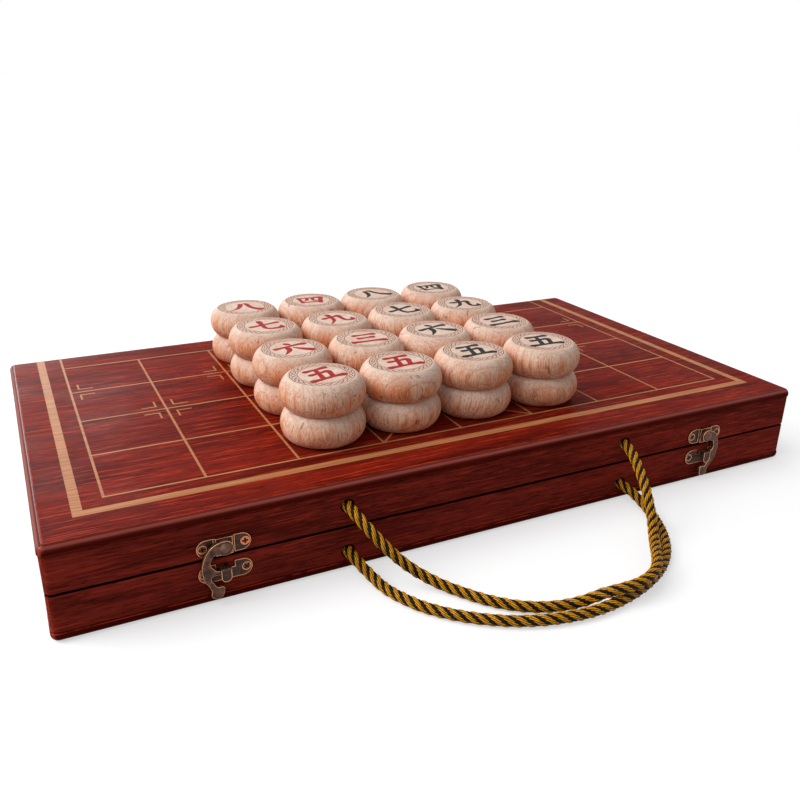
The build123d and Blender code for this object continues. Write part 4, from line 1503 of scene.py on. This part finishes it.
def screw_tree():
    tree, given, out = new_group("screws at points", {"Geometry": "Geometry", "Head": "Object",
                                                     "Material": "Material"},
                                 {"Geometry": "Geometry"}, "GeometryNodeTree")
    head_shape = add(tree, "GeometryNodeObjectInfo", {"Object": given["Head"], "As Instance": True})
    spin = add(tree, "ShaderNodeCombineXYZ", {1: named_number(tree, "turned"),
                                              2: named_number(tree, "facing")})
    heads = add(tree, "GeometryNodeInstanceOnPoints", {"Points": given["Geometry"],
                                                       "Instance": head_shape.outputs["Geometry"],
                                                       "Rotation": spin.outputs[0]})
    kept = add(tree, "GeometryNodeStoreNamedAttribute", {"Geometry": heads.outputs[0], "Name": "shine",
                                                         "Value": named_number(tree, "bright")},
               data_type="FLOAT", domain="INSTANCE")
    real = add(tree, "GeometryNodeRealizeInstances", {0: kept.outputs[0]})
    dressed = add(tree, "GeometryNodeSetMaterial", {"Geometry": real.outputs[0],
                                                    "Material": given["Material"]})
    tree.links.new(dressed.outputs[0], out["Geometry"])
    return tree


def screw_material():
    material, tree, shader, place = new_material("screw_bronze")
    worn = add(tree, "ShaderNodeAttribute", attribute_name="worn").outputs["Fac"]
    shine = add(tree, "ShaderNodeAttribute", attribute_name="shine").outputs["Fac"]
    metal = add(tree, "ShaderNodeGroup", node_tree=bronze)
    top = steps(tree, worn, 0.35, 0.95)
    plate = blend(tree, shine, srgb(112, 78, 56), srgb(214, 92, 50))
    wear(tree, metal, {"Place": place, "Worn": math(tree, "MULTIPLY", top, shine), "Plate": plate,
                       "Bare": srgb(232, 120, 72), "Grime": srgb(36, 24, 18)})
    # painted shade: the cross recess, off the dome, is coloured nearly black
    colour = blend(tree, top, srgb(10, 6, 5), metal.outputs["Color"])
    wear(tree, shader, {"Base Color": colour, "Roughness": 0.38, "Specular IOR Level": 0.35,
                        "Metallic": metal.outputs["Metallic"]})
    return material


screw_bronze = screw_material()
screws = screw_tree()
print("screw tree:", len(screws.nodes), "nodes")

# %% [markdown]
# ## Setting the sixteen screws
#
# Two hold each latch plate and two each hinge leaf. The screw at the upper right of the left latch is given
# the brightest colour.


# %% Screws in place
PLATE_FRONT = -135.5
LEAF_BACK = 134.8
HINGE_XS = (-150.0, 150.0)
HINGE_SCREW_OFFSET = 11.5
LATCH_XS = (LATCH_MIDDLE - LATCH_HALF_SPACING, LATCH_MIDDLE + LATCH_HALF_SPACING)
# each half's body, the heights of its latch and hinge screws, and each latch screw's turn and shine
HALVES = {
    "lid": ("upper_half", HOOK_PLATE_HEIGHT, 34.0, ((8, 0.2), (2, 1.0), (35, 0.11), (60, 0.11))),
    "base": ("lower_half", CATCH_HEIGHT, 18.0, ((20, 0.09), (42, 0.14), (15, 0.09), (70, 0.09))),
}
HINGE_SCREW_TURN = 25  # each is turned this much further than the one before it
HINGE_SCREW_SHINE = 0.3


def set_screws(name, body, places):
    """places: (x, y, z, turn in degrees, shine, whether it faces the back)."""
    mesh = bpy.data.meshes.new("points")
    mesh.from_pydata([Vector(p[:3]) * MM for p in places], [], [])
    numbers = {"turned": [-p[3] * pi / 180 for p in places], "bright": [p[4] for p in places],
               "facing": [pi if p[5] else 0.0 for p in places]}
    for label, values in numbers.items():
        mesh.attributes.new(label, "FLOAT", "POINT").data.foreach_set("value", values)
    grown = grow(screws, mesh, head=head, material=screw_bronze)
    grown.materials.clear()
    new_piece(name + "_heads", grown, [screw_bronze], body, [name])
    print(name, len(places), "heads")


latch_screw_xs = [x + side * SCREW_HALF_SPACING for x in LATCH_XS for side in (-1, 1)]
hinge_screw_xs = [x + side * HINGE_SCREW_OFFSET for x in HINGE_XS for side in (-1, 1)]
for half, (body, z, _, screw_looks) in HALVES.items():
    set_screws(f"{half}_latch_screws", body, [
        (x, PLATE_FRONT, z, turn, shine, False)
        for x, (turn, shine) in zip(latch_screw_xs, screw_looks)])
for half, (body, _, z, _) in HALVES.items():
    set_screws(f"{half}_hinge_screws", body, [
        (x, LEAF_BACK, z, HINGE_SCREW_TURN * n, HINGE_SCREW_SHINE, True)
        for n, x in enumerate(hinge_screw_xs)])

# %% [markdown]
# ## Floor, backdrop and light
#
# The box stands on a white table in a light tent. Only what the camera and reflections see of the table
# and the tent is white, so the light on the box stays at a plain level. The floor keeps the box's shadow.


# %% Floor
FLOOR_HEIGHT = -0.15
FLOOR_REACH = 40.0
TABLE_GREY = 0.35       # as its light falls on the box
TABLE_SEEN_GREY = 0.5   # as it is seen, with a glow that makes up for the rest
TABLE_GLOW = 0.55


def grey(level):
    return level, level, level, 1.0


def is_seen(tree):
    """1 for what the camera sees directly, in a reflection or through glass, 0 for light on the box."""
    paths = add(tree, "ShaderNodeLightPath").outputs
    mirrored = math(tree, "MAXIMUM", paths["Is Glossy Ray"], paths["Is Transmission Ray"])
    return math(tree, "MAXIMUM", paths["Is Camera Ray"], mirrored)


def stage_floor():
    mesh = bpy.data.meshes.new("floor")
    reach = FLOOR_REACH
    mesh.from_pydata([(-reach, -reach, 0), (reach, -reach, 0), (reach, reach, 0), (-reach, reach, 0)], [],
                     [(0, 1, 2, 3)])
    floor = bpy.data.objects.new("floor", mesh)
    floor.location.z = FLOOR_HEIGHT * MM
    material, tree, shader, _ = new_material("floor")
    seen = is_seen(tree)
    colour = blend(tree, seen, grey(TABLE_GREY), grey(TABLE_SEEN_GREY))
    glow = blend(tree, seen, grey(0.0), grey(TABLE_GLOW))
    wear(tree, shader, {"Base Color": colour, "Emission Color": glow, "Emission Strength": 1.0,
                        "Roughness": 1.0, "Specular IOR Level": 0.0})
    mesh.materials.append(material)
    bpy.context.scene.collection.objects.link(floor)


stage_floor()
print("floor at", FLOOR_HEIGHT, "mm")

# %% [markdown]
# ## Lamps and tent
#
# Two broad suns do most of the work: one from the upper left, and a low one from behind that lays a sheen
# on the gloss. A square lamp stands near the left end, so that its light fades along the box. The tent
# fills the shadows.


# %% Light
TENT_LIGHT = 0.38
TENT_SEEN = 1.0


def new_light(name, kind, strength, placed):
    data = bpy.data.lights.new(name, kind)
    data.energy = strength
    light = bpy.data.objects.new(name, data)
    light.matrix_world = placed
    bpy.context.scene.collection.objects.link(light)
    return data


def aimed(way):
    """Turned so that a lamp shines along way."""
    return Vector(way).to_track_quat("-Z", "Y").to_matrix().to_4x4()


def soft_sun(name, way, strength, angle):
    """Light from far away that comes along way, spread over a cone of this angle."""
    new_light(name, "SUN", strength, aimed(way)).angle = angle * pi / 180


def soft_box(name, place, power, size):
    """A square lamp near the box, aimed at its middle."""
    placed = Matrix.Translation(place) @ aimed(-Vector(place))
    new_light(name, "AREA", power, placed).size = size


soft_box("left lamp", (-0.95, 0.15, 0.7), 5.6, 0.5)
soft_sun("window", (0.7, -0.1, -1.0), 1.55, 45)
soft_sun("sheen", (0.06, -0.91, -0.40), 0.95, 22)

world = bpy.data.worlds.new("tent")
bpy.context.scene.world = world
world.use_nodes = True
sky = world.node_tree
surround = sky.nodes["Background"]
surround.inputs["Color"].default_value = grey(1.0)
tent = steps(sky, is_seen(sky), 0, 1, TENT_LIGHT, TENT_SEEN)
sky.links.new(tent, surround.inputs["Strength"])
bpy.context.scene.view_settings.view_transform = "Standard"
print("tent:", TENT_LIGHT, "on the box,", TENT_SEEN, "where it is seen")
